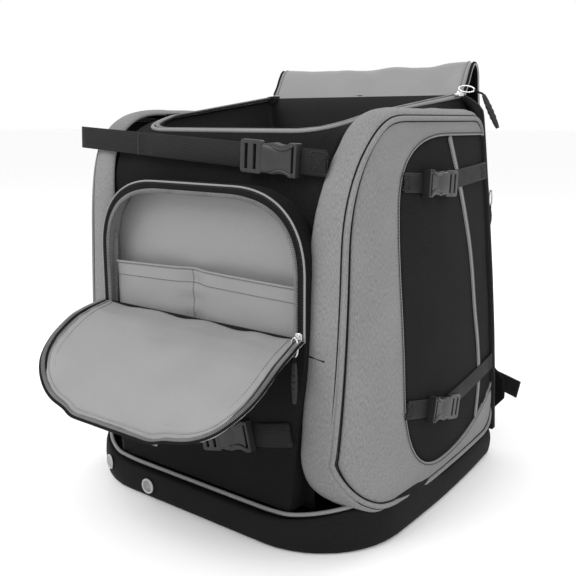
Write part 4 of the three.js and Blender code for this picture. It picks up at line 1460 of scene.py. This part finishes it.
def side_band(node, sign, body):
    """Webbing that follows the boot door's curve, between the ends of its CAD band."""
    lo, hi = low(node), high(node)
    mid_z = (lo.z + hi.z) / 2
    key = next(k for k in SIDE_SLOPES if all(w in node for w in k.split("_")))
    span = hi.y - lo.y
    rise = SIDE_SLOPES[key] * span
    z0, z1 = mid_z - rise / 2, mid_z + rise / 2
    path = [Vector((lo.y + span * i / 24, z0 + (z1 - z0) * i / 24)) for i in range(25)]
    points, normals = along_side(path, 2.3, sign)
    place(strap(node + "_woven", points, normals, NARROW_WEBBING, WEBBING), body, "webbing", node)
    at = 2 if "front" in node else 22
    along = (points[at + 1] - points[at - 1]).normalized()
    spot = points[at] + normals[at] * (WEB + 0.3)
    box_stitches(node + "_stitches", spot, along, normals[at], NARROW_WEBBING, body)


front_straps()
for side, g in SIDES:
    for node in [n for n in frame["nodes"] if n.startswith("side_strap") and "webbing" in n and side in n]:
        side_band(node, g, "boot_door_" + side)


# ---------------------------------------------------------------- harness
LEAN = math.atan((BACK - BACK_TOP) / (BOOT_TOP - BACK_FOOT))


def on_back(x, out, up):
    """A point in the harness's leaning frame: out from the back, up along it."""
    y = BACK + out * math.cos(LEAN) - up * math.sin(LEAN)
    return Vector((x, y, BACK_FOOT + out * math.sin(LEAN) + up * math.cos(LEAN)))


AWAY = on_back(0, 1, 0) - on_back(0, 0, 0)


PRESSURE = 4
CLOTH_STEPS = 20


def padded(node, cap, material, voxel=5.0):
    """The CAD pad blown up by cloth simulation, never further than cap from where it was."""
    source = frame["nodes"][node]
    obj = linked(node + "_padded", source.data.copy())
    remesh = obj.modifiers.new("voxels", "REMESH")
    remesh.mode = "VOXEL"
    remesh.voxel_size = voxel / MM
    settle(obj)
    rest = [v.co.copy() for v in obj.data.vertices]
    cloth = obj.modifiers.new("cloth", "CLOTH")
    cloth.settings.use_pressure = True
    cloth.settings.uniform_pressure_force = PRESSURE
    cloth.settings.effector_weights.gravity = 0
    for step in range(1, CLOTH_STEPS + 1):
        bpy.context.scene.frame_set(step)
    settle(obj)
    bpy.context.scene.frame_set(1)
    for v, start in zip(obj.data.vertices, rest):
        move = v.co - start
        if move.length > cap / MM:
            v.co = start + move * (cap / MM / move.length)
    smoother = obj.modifiers.new("soften", "SMOOTH")
    smoother.factor = 0.5
    smoother.iterations = 4
    fine = obj.modifiers.new("fine", "SUBSURF")
    fine.levels = 1
    fine.render_levels = 1
    settle(obj)
    obj.data.materials.clear()
    obj.data.materials.append(material)
    obj.data.shade_smooth()
    return place(obj, BODY_OF[node], "black_fabric", node)


def strap_centre(t):
    """(x, half width, up) along the right shoulder strap, t from its top to its foot."""
    inner = join(bezier([(22, 335), (24, 250), (60, 190), (88, 130)], 20), [(104, 70)])
    outer = join(
        bezier([(84, 335), (86, 300), (96, 270), (112, 230)], 10),
        bezier([(112, 230), (128, 190), (142, 130), (140, 70)], 12),
    )
    a = resample(inner, 40)[round(40 * t)]
    b = resample(outer, 40)[round(40 * t)]
    return (a.x + b.x) / 2, (b.x - a.x) / 2, (a.y + b.y) / 2


def bound_edges(side, sign):
    """The bound seam round the strap and the daisy chain of webbing down its middle."""
    body = "shoulder_strap_" + side
    middle = [strap_centre(i / 40) for i in range(2, 39)]
    for edge, which in ((-1, "iner"), (1, "outer")):
        line = [on_back(sign * (x + edge * (half - 1.5)), 19, up) for x, half, up in middle]
        cord(f"strap_binding_{which}_{side}", line, 2.2, TAPE, body, "black_fabric")
    line = [on_back(sign * x, 25.5, up) for x, _, up in middle]
    place(strap("strap_chain_" + side, line, [AWAY] * len(line), NARROW_WEBBING, WEBBING), body, "webbing")
    for k in (6, 14, 22, 30):
        along = (line[k + 1] - line[k - 1]).normalized()
        box_stitches(f"strap_bartack_{k}_{side}", line[k] + AWAY * (WEB + 0.3), along, AWAY, 18, body)


def lower_webbing(side, sign):
    start, end = on_back(sign * 126, 9, 45), on_back(sign * 214, 9, 24)
    points = [start.lerp(end, i / 30) + AWAY * (3 * math.sin(math.pi * i / 30)) for i in range(31)]
    made = strap("lower_webbing_" + side, points, [AWAY] * 31, WIDE_WEBBING, WEBBING)
    place(made, None, "webbing", "shoulder_webbing_" + side)
    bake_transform(made)


def wing(side, sign):
    """The fabric wing that anchors the webbing at the bag's lower corner, edged and stitched."""
    rows = []
    for i in range(17):
        u = i / 16
        x = 168 + 28 * u
        lower, upper = -22 + 34 * u, 66 - 28 * u
        row = []
        for k in range(13):
            out = 3 + 2.2 * math.sin(math.pi * k / 12) * (1 - u * 0.6)
            row.append(on_back(sign * x, out, lower + (upper - lower) * k / 12))
        rows.append(row)
    made = thicken(grid("anchor_wing_" + side, rows, [BLACK, BLACK]), 2.2, (0, 1, 0))
    place(made, "bag", "black_fabric", "strap_wing_" + side)
    edge = [row[0] for row in rows] + rows[-1][1:] + [row[-1] for row in rows[::-1][1:]]
    cord("wing_binding_" + side, edge, 1.7, TAPE, "bag", "black_fabric")


def back_pad():
    padded("back_pad", 7, MESH_CLOTH)
    for k, up in enumerate((85, 145, 205, 265)):
        points = [on_back(x, 15.8, up) for x in range(-92, 93, 4)]
        cord(f"back_pad_channel_{k}", points, 1.4, TAPE, "bag", "black_fabric")


HANDLE_THICK = 2.6


def haul_handle():
    """A loop of doubled webbing that stands off the back between two sewn ends."""
    points = []
    for i in range(41):
        t = i / 40
        rise = math.sin(math.pi * t) ** 0.45
        points.append(on_back(-52 + 104 * t, 2 + 2.5 * rise, 352 + 22 * rise))
    normals = [Vector((0, AWAY.y, AWAY.z))] * 41
    grip = strap("haul_handle_loop", points, normals, NARROW_WEBBING, WEBBING, HANDLE_THICK)
    place(grip, "haul_handle", "webbing", "haul_handle")
    for side, sign in SIDES:
        at = on_back(sign * 50, 5.2, 354)
        box_stitches("haul_handle_stitches_" + side, at, Vector((1, 0, 0)), AWAY, 16, "haul_handle")


back_pad()
haul_handle()
for side, g in SIDES:
    padded("shoulder_strap_" + side, 5, PAD_CLOTH)
    bound_edges(side, g)
    lower_webbing(side, g)
    wing(side, g)


# ---------------------------------------------------------------- floor, light and finish
FLOOR_REACH = 30


def studio():
    floor = bpy.data.meshes.new("floor")
    corners = [(x * FLOOR_REACH, y * FLOOR_REACH, 0) for x, y in ((-1, -1), (1, -1), (1, 1), (-1, 1))]
    floor.from_pydata(corners, [], [(0, 1, 2, 3)])
    obj = linked("floor", floor)
    pale = bpy.data.materials.new("pale_floor")
    pale.use_nodes = True
    shader = pale.node_tree.nodes["Principled BSDF"]
    shader.inputs["Base Color"].default_value = (0.96, 0.96, 0.96, 1)
    shader.inputs["Roughness"].default_value = 0.8
    floor.materials.append(pale)
    world = bpy.data.worlds.new("studio")
    world.use_nodes = True
    world.node_tree.nodes["Background"].inputs["Color"].default_value = (1, 1, 1, 1)
    world.node_tree.nodes["Background"].inputs["Strength"].default_value = 1.0
    bpy.context.scene.world = world
    for name, place_at, size, power in (
        ("key", (-0.6, -1.6, 1.9), 1.4, 30),
        ("fill", (1.9, -0.6, 1.1), 1.6, 10),
        ("back", (0.2, 1.8, 1.8), 1.6, 14),
    ):
        light = bpy.data.lights.new(name, "AREA")
        light.size = size
        light.energy = power
        lamp = linked(name, light)
        lamp.location = place_at
        aim = Vector((0, 0, 0.22)) - Vector(place_at)
        lamp.rotation_euler = aim.to_track_quat("-Z", "Y").to_euler()
    bpy.context.scene.view_settings.view_transform = "Standard"


studio()
